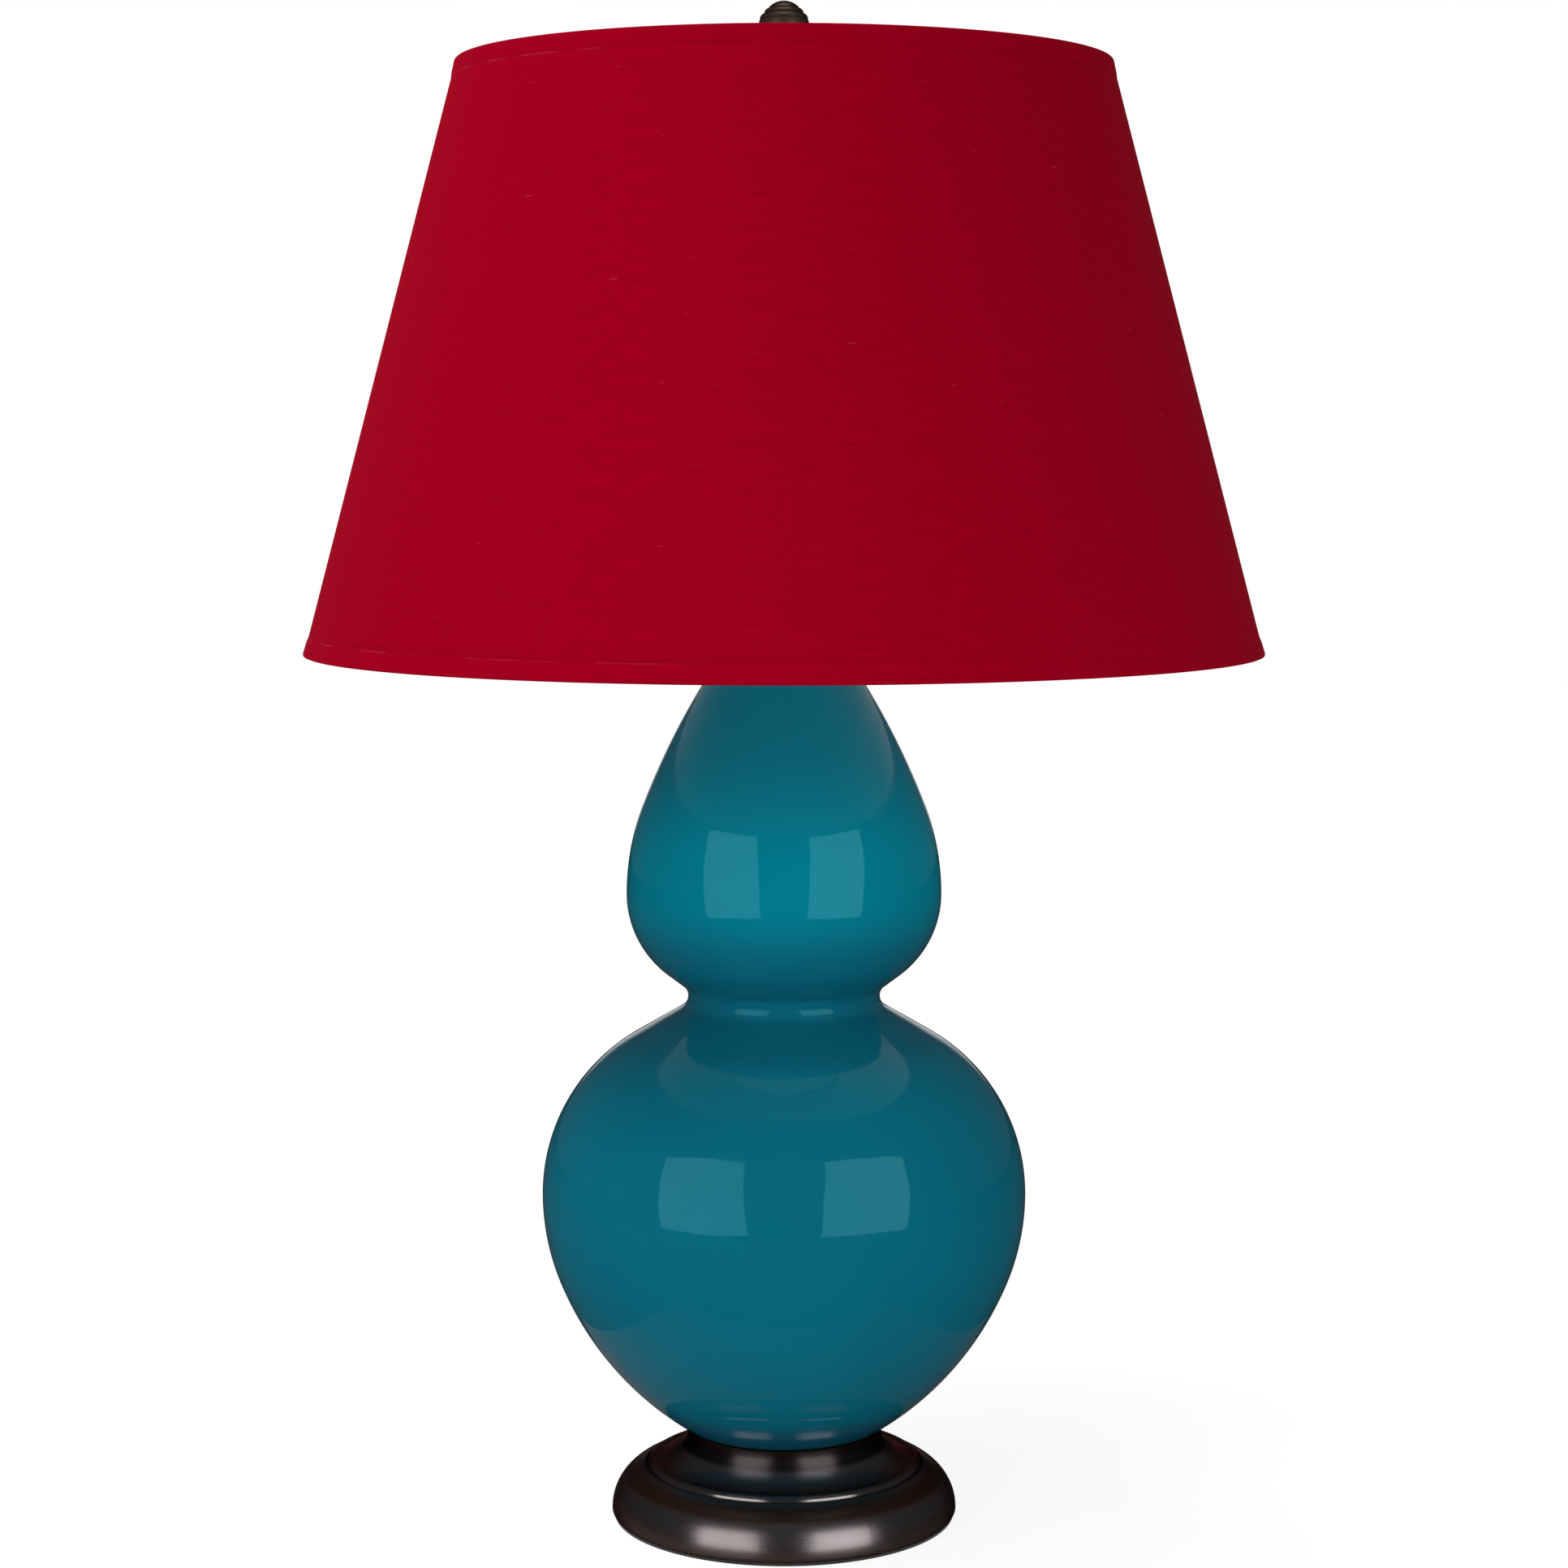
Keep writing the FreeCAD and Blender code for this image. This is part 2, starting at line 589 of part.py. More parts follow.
def saddle_nut():
    return hexagon(NUT_FLATS, PIPE_R, SADDLE_NUT_Z, SADDLE_NUT_Z + SADDLE_NUT_T)


def harp_leg():
    """One leg of the harp, from its post to the flattened top."""
    shift = HARP_HALF_WIDTH - SADDLE_HALF
    swing = math.acos(1 - shift / (HARP_OUT_RADIUS + HARP_BACK_RADIUS))
    foot = (SADDLE_HALF, POST_TOP_Z)
    bend = (SADDLE_HALF, POST_TOP_Z + HARP_STRAIGHT)
    out_centre = (SADDLE_HALF + HARP_OUT_RADIUS, bend[1])
    out_end = on_circle(out_centre, HARP_OUT_RADIUS, 180 - math.degrees(swing))
    wide_z = bend[1] + (HARP_OUT_RADIUS + HARP_BACK_RADIUS) * math.sin(swing)
    back_centre = (HARP_HALF_WIDTH - HARP_BACK_RADIUS, wide_z)
    top_z = SEAT_Z - HARP_PLATE[2] / 2
    crown = math.radians(HARP_CROWN_TURN)
    rise = top_z - wide_z - HARP_CORNER_RADIUS * (1 - math.sin(crown))
    crown_radius = rise / math.sin(crown)
    crown_centre = (HARP_HALF_WIDTH - crown_radius, wide_z)
    crown_end = on_circle(crown_centre, crown_radius, HARP_CROWN_TURN)
    corner_centre = on_circle(crown_end, HARP_CORNER_RADIUS, HARP_CROWN_TURN + 180)
    corner_end = (corner_centre[0], top_z)
    path = Outline(foot).line(bend).arc(out_centre, out_end)
    path.arc(back_centre, (HARP_HALF_WIDTH, wide_z)).arc(crown_centre, crown_end)
    path.arc(corner_centre, corner_end)
    return round_rod(path.wire(), WIRE_R, Vec(foot[0], 0, foot[1]), Vec(0, 0, 1)), corner_end[0]


def harp_bow():
    """The harp: two bent legs joined by a flattened top with a hole for the stud."""
    leg, reach = harp_leg()
    length, width, thickness = HARP_PLATE
    length = max(length, 2 * reach + 4 * WIRE_R)
    plate = Part.makeBox(length, width, thickness, Vec(-length / 2, -width / 2, SEAT_Z - thickness))
    plate = plate.makeFillet(0.45 * width, [edge for edge in plate.Edges
                                            if edge.Length < thickness + 0.01])
    hole = Part.makeCylinder(STUD_SHANK_R + RUNNING_GAP, thickness, Vec(0, 0, SEAT_Z - thickness))
    under = Part.makeBox(4 * HARP_HALF_WIDTH, width, WIRE_R, Vec(-2 * HARP_HALF_WIDTH, -width / 2, SEAT_Z))
    bow = plate.fuse([leg, mirrored(leg)]).removeSplitter()
    return bow.cut(hole).cut(under)


def ferrule():
    """Knurled-look sleeve that locks a leg of the harp to its post, resting on the pad."""
    top = SHOULDER_Z + FERRULE_LENGTH
    nose = FERRULE_R - FERRULE_BORE_R
    return turned((FERRULE_BORE_R, SHOULDER_Z), (FERRULE_R, SHOULDER_Z), (FERRULE_R, top - nose),
                  (FERRULE_R - nose / 2, top), (FERRULE_BORE_R, top)).translated(Vec(SADDLE_HALF, 0, 0))


def swivel_stud():
    """Riveted stud that turns in the harp's top and carries the shade's hub."""
    plate_z = SEAT_Z - HARP_PLATE[2]
    return turned((0, plate_z - STUD_HEAD_T), (STUD_HEAD_R, plate_z - STUD_HEAD_T),
                  (STUD_HEAD_R, plate_z), (STUD_SHANK_R, plate_z), (STUD_SHANK_R, SEAT_Z),
                  (STUD_COLLAR_R, SEAT_Z), (STUD_COLLAR_R, HUB_Z), (STUD_R, HUB_Z),
                  (STUD_R, HUB_Z + STUD_LENGTH), (0, HUB_Z + STUD_LENGTH))


# ---------------------------------------------------------------- lamp holder
def stem_drill(radius):
    """A cylinder along the switch's axis, from the core out through the shell."""
    return Part.makeCylinder(radius, HOLDER_R * 2, Vec(0, -STEM_START, SWITCH_Z), -Y_AXIS)


def socket_cap():
    """Flared cap whose hub screws on the pipe."""
    hub_top = HOLDER_Z + HOLDER_HUB_LENGTH
    rim = HOLDER_Z + HOLDER_CAP_HEIGHT
    waist = HOLDER_R - HOLDER_WALL
    curve = rim - SHELL_LAP - hub_top
    flare_z = hub_top + curve / 2
    return turned((PIPE_R, HOLDER_Z), (HOLDER_HUB_R, HOLDER_Z), (HOLDER_HUB_R, hub_top - HOLDER_WALL),
                  (HOLDER_R - HOLDER_WALL, flare_z), (HOLDER_R, flare_z + curve / 4), (HOLDER_R, rim),
                  (waist, rim), (waist, rim - SHELL_LAP), (PIPE_HOLE_R, hub_top), (PIPE_R, hub_top))


def cap_set_screw():
    """Small screw through the hub's side that stops the cap turning on the pipe."""
    height = HOLDER_Z + 0.4 * HOLDER_HUB_LENGTH
    return Part.makeCylinder(SET_SCREW_R, SET_SCREW_OUT, Vec(0, HOLDER_HUB_R, height), Y_AXIS)


def core_blank():
    return tube(CORE_R, 0, CORE_Z, CORE_TOP_Z)


def socket_body():
    """Moulded core with two flats for the terminals and a hole for the switch's stem."""
    flat = CORE_R - CORE_FLAT
    core = core_blank()
    for side in (CORE_FLAT, -CORE_FLAT - flat):
        core = core.cut(Part.makeBox(flat, 2 * CORE_R, CORE_HEIGHT * 0.6, Vec(side, -CORE_R, CORE_Z)))
    return core.cut(stem_drill(STEM_R + RUNNING_GAP))


def terminal_screws():
    """The two terminal screws on the core's flats, with their slots."""
    height = CORE_Z + CORE_HEIGHT * 0.3
    head = Part.makeCylinder(TERMINAL_R, TERMINAL_T, Vec(CORE_FLAT, 0, height), Vec(1, 0, 0))
    slot = Part.makeBox(TERMINAL_T / 2, 2 * TERMINAL_R, TERMINAL_SLOT,
                        Vec(CORE_FLAT + TERMINAL_T / 2, -TERMINAL_R, height - TERMINAL_SLOT / 2))
    head = head.cut(slot)
    return Part.makeCompound([head, mirrored(head)])


def centre_contact():
    """Bent spring strip under the bulb's tip."""
    reach = SCREW_SHELL_R * 0.6
    width = 5.0
    low = CORE_TOP_Z
    high = BULB_TIP_Z
    strip = Outline((-reach, low)).line((-reach / 3, low), (reach / 4, high - CONTACT_T),
                                        (reach / 2, high - CONTACT_T), (reach / 2, high), (0, high),
                                        (-reach / 2, low + CONTACT_T), (-reach, low + CONTACT_T),
                                        (-reach, low))
    contact = Part.Face(strip.wire()).extrude(Vec(0, width, 0))
    return contact.translated(Vec(0, -width / 2, 0))


def screw_shell():
    return tube(SCREW_SHELL_R + SCREW_SHELL_T, SCREW_SHELL_R, CORE_TOP_Z, CORE_TOP_Z + SCREW_SHELL_LENGTH)


def socket_insulator():
    """Fibre sleeve between the live parts and the shell, with a floor under the core."""
    floor = CORE_Z - INSULATOR_T
    top = SHELL_TOP_Z - INSULATOR_DROP
    inner = INSULATOR_R - INSULATOR_T
    sleeve = turned((PIPE_HOLE_R, floor), (INSULATOR_R, floor), (INSULATOR_R, top), (inner, top),
                    (inner, CORE_Z), (PIPE_HOLE_R, CORE_Z))
    return sleeve.cut(stem_drill(STEM_HOLE_R))


def socket_shell():
    """Outer shell with a rolled mouth and a slot for the switch's stem."""
    foot = CORE_Z - INSULATOR_T
    inner = SHELL_R - HOLDER_WALL
    bead = HOLDER_WALL * 0.6
    shell = turned((inner, foot), (SHELL_R, foot), (SHELL_R, SHELL_TOP_Z - SHELL_BEAD),
                   (SHELL_R + bead, SHELL_TOP_Z - SHELL_BEAD + bead),
                   (SHELL_R + bead, SHELL_TOP_Z), (inner, SHELL_TOP_Z))
    return shell.cut(stem_drill(STEM_HOLE_R))


def switch_stem():
    end = SHELL_R + STEM_OUT
    return Part.makeCylinder(STEM_R, end - STEM_START, Vec(0, -STEM_START, SWITCH_Z), -Y_AXIS)


def turn_knob():
    """Fluted knob pushed on the stem, with a plain collar next to the shell."""
    face = SHELL_R + KNOB_CLEAR
    start = Vec(0, -face, SWITCH_Z)
    rim = []
    for index in range(2 * KNOB_FLUTES + 1):
        radius = KNOB_R - (KNOB_FLUTE_DEPTH if index % 2 else 0)
        angle = math.pi * index / KNOB_FLUTES
        rim.append(start + Vec(radius * math.cos(angle), 0, radius * math.sin(angle)))
    grip = Part.Face(Part.makePolygon(rim)).extrude(Vec(0, -KNOB_LENGTH, 0))
    collar = Part.makeCylinder(KNOB_R * 0.7, KNOB_CLEAR / 2, start + Vec(0, KNOB_CLEAR / 2, 0), -Y_AXIS)
    bore = SHELL_R + STEM_OUT - face + KNOB_CLEAR / 2
    drill = Part.makeCylinder(STEM_R, bore, start + Vec(0, KNOB_CLEAR / 2, 0), -Y_AXIS)
    return grip.fuse(collar).cut(drill)


# ---------------------------------------------------------------- light bulb
def bulb_contact():
    """Insulated tip of the bulb's cap."""
    return turned((0, BULB_TIP_Z), (BULB_TIP_R, BULB_TIP_Z), (1.15 * BULB_TIP_R, BULB_TIP_Z + BULB_TIP / 3),
                  (2.5 * BULB_TIP_R, BULB_CAP_Z), (0, BULB_CAP_Z))


def bulb_cap():
    """Screw cap with rolled rings in place of its thread."""
    pitch = BULB_THREAD_PITCH
    root = BULB_CAP_R - BULB_THREAD_DEPTH
    outline = Outline((0, BULB_CAP_Z)).line((root, BULB_CAP_Z))
    turns = int((BULB_CAP_LENGTH - BULB_THREAD_START - BULB_COLLAR) / pitch)
    for index in range(turns):
        low = BULB_CAP_Z + BULB_THREAD_START + index * pitch
        outline.line((root, low), (BULB_CAP_R, low + pitch / 2), (root, low + pitch))
    outline.line((BULB_CAP_R, GLASS_Z - BULB_COLLAR), (BULB_CAP_R, GLASS_Z), (0, GLASS_Z))
    return outline.turned()


def bulb_glass():
    """Pear-shaped glass bulb with a thin wall."""
    ball_z = GLASS_Z + GLASS_LENGTH - GLASS_R
    centre = (0, ball_z)
    neck_z = GLASS_Z + GLASS_FLARE
    foot = BULB_CAP_R - GLASS_WALL
    inner = GLASS_R - GLASS_WALL
    outline = Outline((foot, GLASS_Z)).line((GLASS_NECK_R, neck_z))
    outline.line(on_circle(centre, GLASS_R, -GLASS_CHEEK)).arc(centre, (0, ball_z + GLASS_R))
    outline.line((0, ball_z + inner)).arc(centre, on_circle(centre, inner, -GLASS_CHEEK))
    outline.line((GLASS_NECK_R - GLASS_WALL, neck_z), (foot - GLASS_WALL, GLASS_Z))
    return outline.turned()


# ---------------------------------------------------------------- shade
def shade_radius(height, depth):
    """Radius of the layer that lies depth inside the shade's outermost surface."""
    slant = math.hypot(1, SHADE_LEAN)
    return SHADE_TOP_R + (SHADE_TOP_Z - height) * SHADE_LEAN - depth * slant


FABRIC_DEPTH = TRIM_T + GLUE_GAP
LINER_DEPTH = FABRIC_DEPTH + FABRIC_T + GLUE_GAP
INSIDE_DEPTH = LINER_DEPTH + LINER_T


def cone_layer(depth, thickness):
    """A conical layer of the shade, held back from both rims by the trims."""
    top = SHADE_TOP_Z - TRIM_T - GLUE_GAP
    bottom = SHADE_BOTTOM_Z + TRIM_T + GLUE_GAP
    return turned((shade_radius(bottom, depth), bottom), (shade_radius(top, depth), top),
                  (shade_radius(top, depth + thickness), top),
                  (shade_radius(bottom, depth + thickness), bottom))


def shade_fabric():
    return cone_layer(FABRIC_DEPTH, FABRIC_T)


def shade_liner():
    return cone_layer(LINER_DEPTH, LINER_T)


def ring_places():
    """Bottom height and outer radius of the two rings, just inside the liner."""
    rim_gap = TRIM_T + GLUE_GAP
    top = SHADE_TOP_Z - rim_gap - RING_HEIGHT
    bottom = SHADE_BOTTOM_Z + rim_gap
    return [(low, shade_radius(low + RING_HEIGHT, INSIDE_DEPTH + GLUE_GAP)) for low in (top, bottom)]


def shade_ring(index):
    low, radius = ring_places()[index]
    return tube(radius, radius - RING_WIDTH, low, low + RING_HEIGHT)


def trim(rim, sign, ring_radius):
    """Cloth band folded over a rim and its ring: sign is -1 where it hangs from the rim."""
    outer_end = rim + sign * TRIM_HEIGHT
    inner_end = rim + sign * TRIM_TURN_IN
    web = rim + sign * TRIM_T
    inner = ring_radius - RING_WIDTH - GLUE_GAP
    return turned((shade_radius(rim, 0), rim), (shade_radius(outer_end, 0), outer_end),
                  (shade_radius(outer_end, TRIM_T), outer_end), (shade_radius(web, TRIM_T), web),
                  (inner, web), (inner, inner_end), (inner - TRIM_T, inner_end), (inner - TRIM_T, rim))


def spoke(radius):
    """One spoke of the spider, along +X from the hub to the top ring."""
    low, ring_radius = ring_places()[0]
    slope = math.radians(SPOKE_SLOPE)
    hub = (HUB_R - HUB_LAP, HUB_Z + HUB_T / 2)
    end = (ring_radius - RING_WIDTH, low + RING_HEIGHT / 2)
    climb = end[1] - hub[1]
    tangent = SPOKE_BEND * math.tan(slope / 2)
    corner = end[0] - climb / math.tan(slope)
    bend = (corner - tangent, hub[1])
    leave = (corner + tangent * math.cos(slope), hub[1] + tangent * math.sin(slope))
    path = Outline(hub).line(bend).arc((bend[0], hub[1] + SPOKE_BEND), leave).line(end)
    return round_rod(path.wire(), radius, Vec(hub[0], 0, hub[1]), Vec(1, 0, 0))


def spokes(radius):
    one = spoke(radius)
    return [one.rotated(Vec(0, 0, 0), Vec(0, 0, 1), 90 + 360 * index / SPOKE_COUNT)
            for index in range(SPOKE_COUNT)]


def ring_keepout():
    low, radius = ring_places()[0]
    return tube(radius, radius - RING_WIDTH, low - RING_HEIGHT, low + 2 * RING_HEIGHT)


def spider():
    """Hub washer with its spokes, which end on the inside of the top ring."""
    hub = tube(HUB_R, 0, HUB_Z, FINIAL_Z)
    frame = hub.fuse(spokes(SPOKE_R)).removeSplitter().cut(ring_keepout())
    seat = tube(FINIAL_FOOT_R + SEAT_PLAY, 0, FINIAL_Z, FINIAL_Z + 2 * SPOKE_R)
    under = tube(STUD_COLLAR_R + SEAT_PLAY, 0, HUB_Z - 2 * SPOKE_R, HUB_Z)
    hole = Part.makeCylinder(STUD_R + HUB_HOLE_PLAY, HUB_T, Vec(0, 0, HUB_Z))
    return frame.cut(seat).cut(under).cut(hole)


def top_trim():
    band = trim(SHADE_TOP_Z, -1, ring_places()[0][1])
    return band.cut(Part.makeCompound(spokes(SPOKE_R + 2 * GLUE_GAP)))


def bottom_trim():
    return trim(SHADE_BOTTOM_Z, 1, ring_places()[1][1])


# ---------------------------------------------------------------- finial
def bulged_centre(start, end, rise):
    """Centre of the arc from start to end that stands out from its chord by rise."""
    half = math.dist(start, end) / 2
    reach = (half ** 2 - rise ** 2) / (2 * rise)
    inward = ((start[1] - end[1]) / (2 * half), (end[0] - start[0]) / (2 * half))
    return ((start[0] + end[0]) / 2 + inward[0] * reach, (start[1] + end[1]) / 2 + inward[1] * reach)


def finial():
    """Turned finial: foot, slim neck and a beehive knob of stacked tiers under a round crown."""
    top = FINIAL_Z + FINIAL_HEIGHT
    knob = top - FINIAL_KNOB_HEIGHT
    foot = FINIAL_Z + FINIAL_FOOT_T
    outline = Outline((STUD_R + RUNNING_GAP, FINIAL_Z)).line((FINIAL_FOOT_R, FINIAL_Z), (FINIAL_FOOT_R, foot))
    dip = FINIAL_FOOT_R - FINIAL_NECK_R
    outline.arc((FINIAL_FOOT_R, foot + dip), (FINIAL_NECK_R, foot + dip))
    shoulder = FINIAL_TIERS[0][0] - FINIAL_LIP
    sweep = shoulder - FINIAL_NECK_R
    outline.line((FINIAL_NECK_R, knob - sweep)).arc((shoulder, knob - sweep), (shoulder, knob))
    for (radius, depth), (upper_radius, upper_depth) in zip(FINIAL_TIERS, FINIAL_TIERS[1:]):
        low = (radius, top - depth)
        high = (upper_radius, top - upper_depth - FINIAL_GROOVE)
        outline.line(low).arc(bulged_centre(low, high, FINIAL_BULGE), high)
        outline.line((upper_radius - FINIAL_GROOVE, top - upper_depth - FINIAL_GROOVE / 2))
    edge, crown = FINIAL_TIERS[-1]
    dome = (edge ** 2 + crown ** 2) / (2 * crown)
    outline.line((edge, top - crown)).arc((0, top - dome), (0, top))
    bore = FINIAL_Z + FINIAL_BORE
    return outline.line((0, bore), (STUD_R + RUNNING_GAP, bore)).turned()


# ---------------------------------------------------------------- export
def parts():
    right = ferrule()
    return {
        "felt_pad": felt_pad(), "bottom_cover": bottom_cover(), "base_weight": base_weight(),
        "metal_base": metal_base(), "cord_bushing": cord_bushing(), "bottom_nut": bottom_nut(),
        "lock_washer": lock_washer(), "bottom_washer": bottom_washer(), "foot_gasket": foot_gasket(),
        "ceramic_body": ceramic_body(), "lamp_pipe": lamp_pipe(), "neck_gasket": neck_gasket(),
        "vase_cap": vase_cap(), "neck_spacer": neck_spacer(), "harp_saddle": harp_saddle(),
        "saddle_nut": saddle_nut(), "harp_bow": harp_bow(), "harp_ferrule_right": right,
        "harp_ferrule_left": mirrored(right), "socket_cap": socket_cap(),
        "cap_set_screw": cap_set_screw(), "socket_body": socket_body(),
        "terminal_screws": terminal_screws(), "centre_contact": centre_contact(),
        "screw_shell": screw_shell(), "socket_insulator": socket_insulator(),
        "socket_shell": socket_shell(), "switch_stem": switch_stem(), "turn_knob": turn_knob(),
        "bulb_contact": bulb_contact(), "bulb_cap": bulb_cap(), "bulb_glass": bulb_glass(),
        "swivel_stud": swivel_stud(), "spider": spider(), "top_ring": shade_ring(0),
        "bottom_ring": shade_ring(1), "shade_liner": shade_liner(), "shade_fabric": shade_fabric(),
        "top_trim": top_trim(), "bottom_trim": bottom_trim(), "finial": finial(),
    }


os.makedirs("parts", exist_ok=True)
for name, shape in parts().items():
    shape.exportStep("parts/" + name + ".step")
    print(name, "valid" if shape.isValid() else "NOT VALID", len(shape.Solids), round(shape.Volume, 1),
          round(shape.BoundBox.ZMin, 2), round(shape.BoundBox.ZMax, 2))
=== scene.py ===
import math

import bmesh
import bpy
from mathutils import Matrix, Vector


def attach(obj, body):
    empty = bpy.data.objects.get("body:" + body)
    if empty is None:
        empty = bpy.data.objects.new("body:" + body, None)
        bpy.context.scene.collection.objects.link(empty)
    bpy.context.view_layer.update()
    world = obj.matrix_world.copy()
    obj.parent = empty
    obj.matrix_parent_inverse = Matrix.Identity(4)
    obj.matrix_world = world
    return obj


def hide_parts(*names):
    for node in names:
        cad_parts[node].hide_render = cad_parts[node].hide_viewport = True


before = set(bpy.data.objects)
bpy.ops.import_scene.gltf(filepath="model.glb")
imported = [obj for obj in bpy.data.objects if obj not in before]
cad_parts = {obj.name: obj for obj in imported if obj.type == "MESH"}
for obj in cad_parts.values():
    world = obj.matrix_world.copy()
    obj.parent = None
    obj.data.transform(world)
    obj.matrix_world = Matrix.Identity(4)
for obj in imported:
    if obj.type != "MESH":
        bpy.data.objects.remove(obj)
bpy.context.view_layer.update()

# Table lamp with a glazed double-gourd body. Everything is in metres in the CAD's frame:
# the lamp's axis is Z, it stands on z = 0 and its front faces -Y.
# Lengths that are drawn here are given in millimetres and turned to metres by MM.
MM = 0.001

# ---------------------------------------------------------------- driving dimensions
# ceramic body, where a point is (radius, height)
FOOT = (50.6, 47.3)
BELLY = (123.9, 169.0)           # widest points of the two bulbs
BULB = (80.2, 323.5)
NECK = (27.0, 452.0)
NECK_TOP = 461.0
# radius and degrees of the arcs next to the widest points, below and above them
FLANK, SHOULDER = (118.0, -22.0), (94.0, 59.5)
UNDER, CROWN = (50.9, -52.7), (125.5, 20.8)
WAIST_FILLET = 7.2
WALL = 5.0
FLOOR = 6.0                      # thickness of the bottom
PIPE_HOLE = 8.0                  # radius of the hole in it
EDGE = 0.8                       # softened edges of foot and neck

# shade
SHADE_TOP = (163.1, 739.7)       # outermost radius and height of the two rims
SHADE_BOTTOM = (241.3, 446.7)
TOP_WIRE, BOTTOM_WIRE = 161.125, 238.231     # outer radii of the wire rings in the rims
LEAN = (SHADE_BOTTOM[0] - SHADE_TOP[0]) / (SHADE_TOP[1] - SHADE_BOTTOM[1])
HALF_ANGLE = math.atan(LEAN)
HEM = 9.2                        # height of the bindings over the rims
BACK = 90.0                      # the cloth's seam is at the back, on +Y
LAP = 2.6                        # degrees that its ends overlap there, 11 mm at the bottom rim


# ---------------------------------------------------------------- camera
CAMERA = (0.0, -1.7, 0.552)      # metres
TILT = 5.8                       # degrees downwards
LENS, FILM = 77.2, 36.0          # millimetres


def set_camera():
    """The photograph's view, from the height of the shade and slightly down."""
    data = bpy.data.cameras.new("camera")
    data.lens = LENS
    data.sensor_width = FILM
    camera = bpy.data.objects.new("camera", data)
    camera.location = CAMERA
    camera.rotation_euler = (math.radians(90 - TILT), 0.0, 0.0)
    bpy.context.scene.collection.objects.link(camera)
    bpy.context.scene.camera = camera


set_camera()


# ---------------------------------------------------------------- drawing
FINE_TURN = 288                  # steps of a full turn
SHARP = math.radians(40)         # an edge that turns more than this stays sharp
DOUBLES = 1e-6


class Outline:
    """A half section in the XZ plane, drawn in millimetres by sweeping one corner point."""

    def __init__(self, radius, height):
        self.mesh = bmesh.new()
        self.tip = self.mesh.verts.new((radius * MM, 0, height * MM))

    def line(self, radius, height, steps=1):
        """Draws the point out to a radius and a height, in equal steps."""
        target = Vector((radius * MM, 0, height * MM))
        step = (target - self.tip.co) / steps
        for _ in range(steps):
            made = bmesh.ops.extrude_vert_indiv(self.mesh, verts=[self.tip])
            self.tip = made["verts"][0]
            bmesh.ops.translate(self.mesh, verts=[self.tip], vec=step)
        return self

    def arc(self, centre, end, step):
        """Sweeps the point about a centre to the direction of end, in steps of some degrees."""
        middle = Vector((centre[0] * MM, 0, centre[1] * MM))
        here = self.tip.co - middle
        there = Vector((end[0] * MM, 0, end[1] * MM)) - middle
        turn = math.atan2(there.x * here.z - there.z * here.x, there.dot(here))
        steps = max(2, round(abs(math.degrees(turn)) / step))
        made = bmesh.ops.spin(self.mesh, geom=[self.tip], cent=middle, axis=(0, 1, 0),
                              angle=turn, steps=steps, use_merge=False)
        self.tip = made["geom_last"][0]
        return self

    def turned(self, steps=FINE_TURN, start=0.0, turn=360.0):
        """Turns the outline round the lamp's axis, closed where it makes a full turn."""
        full = turn == 360.0
        parts = self.mesh.verts[:] + self.mesh.edges[:]
        bmesh.ops.rotate(self.mesh, verts=self.mesh.verts, cent=(0, 0, 0),
                         matrix=Matrix.Rotation(math.radians(start), 3, "Z"))
        bmesh.ops.spin(self.mesh, geom=parts, cent=(0, 0, 0), axis=(0, 0, 1),
                       angle=math.radians(turn), steps=steps, use_merge=full)
        if full:
            bmesh.ops.remove_doubles(self.mesh, verts=self.mesh.verts, dist=DOUBLES)
        bmesh.ops.recalc_face_normals(self.mesh, faces=self.mesh.faces)
        return self.mesh


def piece(name, mesh, body, material):
    """Makes the drawn mesh an object that rides on a body, smooth but for its sharp edges."""
    data = bpy.data.meshes.new(name)
    mesh.to_mesh(data)
    mesh.free()
    data.shade_smooth()
    data.set_sharp_from_angle(angle=SHARP)
    data.materials.append(material)
    made = bpy.data.objects.new(name, data)
    bpy.context.scene.collection.objects.link(made)
    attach(made, body)
    return made


# ---------------------------------------------------------------- finishes
MIX_A, MIX_B, MIX_OUT = 6, 7, 2              # sockets of a Mix node for colours
NUMBER_A, NUMBER_B = 2, 3                    # and of one for numbers
NOISE_LOW, NOISE_HIGH = 0.3, 0.7             # a noise pattern mostly stays between these
WAVE = math.tau / 20                         # a wave pattern of scale 1 repeats every 0.314 m
THROWING = 31.416                            # mm between the finger marks of throwing
WEAVE = 5.0265                               # mm between threads as they are drawn


def linear(hex_colour):
    """A linear colour from an sRGB hex value."""
    channels = [int(hex_colour[place:place + 2], 16) / 255 for place in (1, 3, 5)]
    return tuple(c / 12.92 if c <= 0.04045 else ((c + 0.055) / 1.055) ** 2.4
                 for c in channels) + (1.0,)


def add(tree, kind, inputs=None, **settings):
    """Adds a shader node with its settings, and gives each input a value or a link."""
    node = tree.nodes.new("ShaderNode" + kind)
    for name, value in settings.items():
        setattr(node, name, value)
    for socket, value in (inputs or {}).items():
        if isinstance(value, bpy.types.NodeSocket):
            tree.links.new(value, node.inputs[socket])
        else:
            node.inputs[socket].default_value = value
    return node


def finish(name, coordinates="Object", **constants):
    """A named material: its tree, its shader with the constant values set, and its coordinates."""
    material = bpy.data.materials.new(name)
    material.use_nodes = True
    tree = material.node_tree
    shader = tree.nodes["Principled BSDF"]
    for socket, value in constants.items():
        shader.inputs[socket.replace("_", " ")].default_value = value
    place = add(tree, "TexCoord").outputs[coordinates]
    return material, tree, shader, place


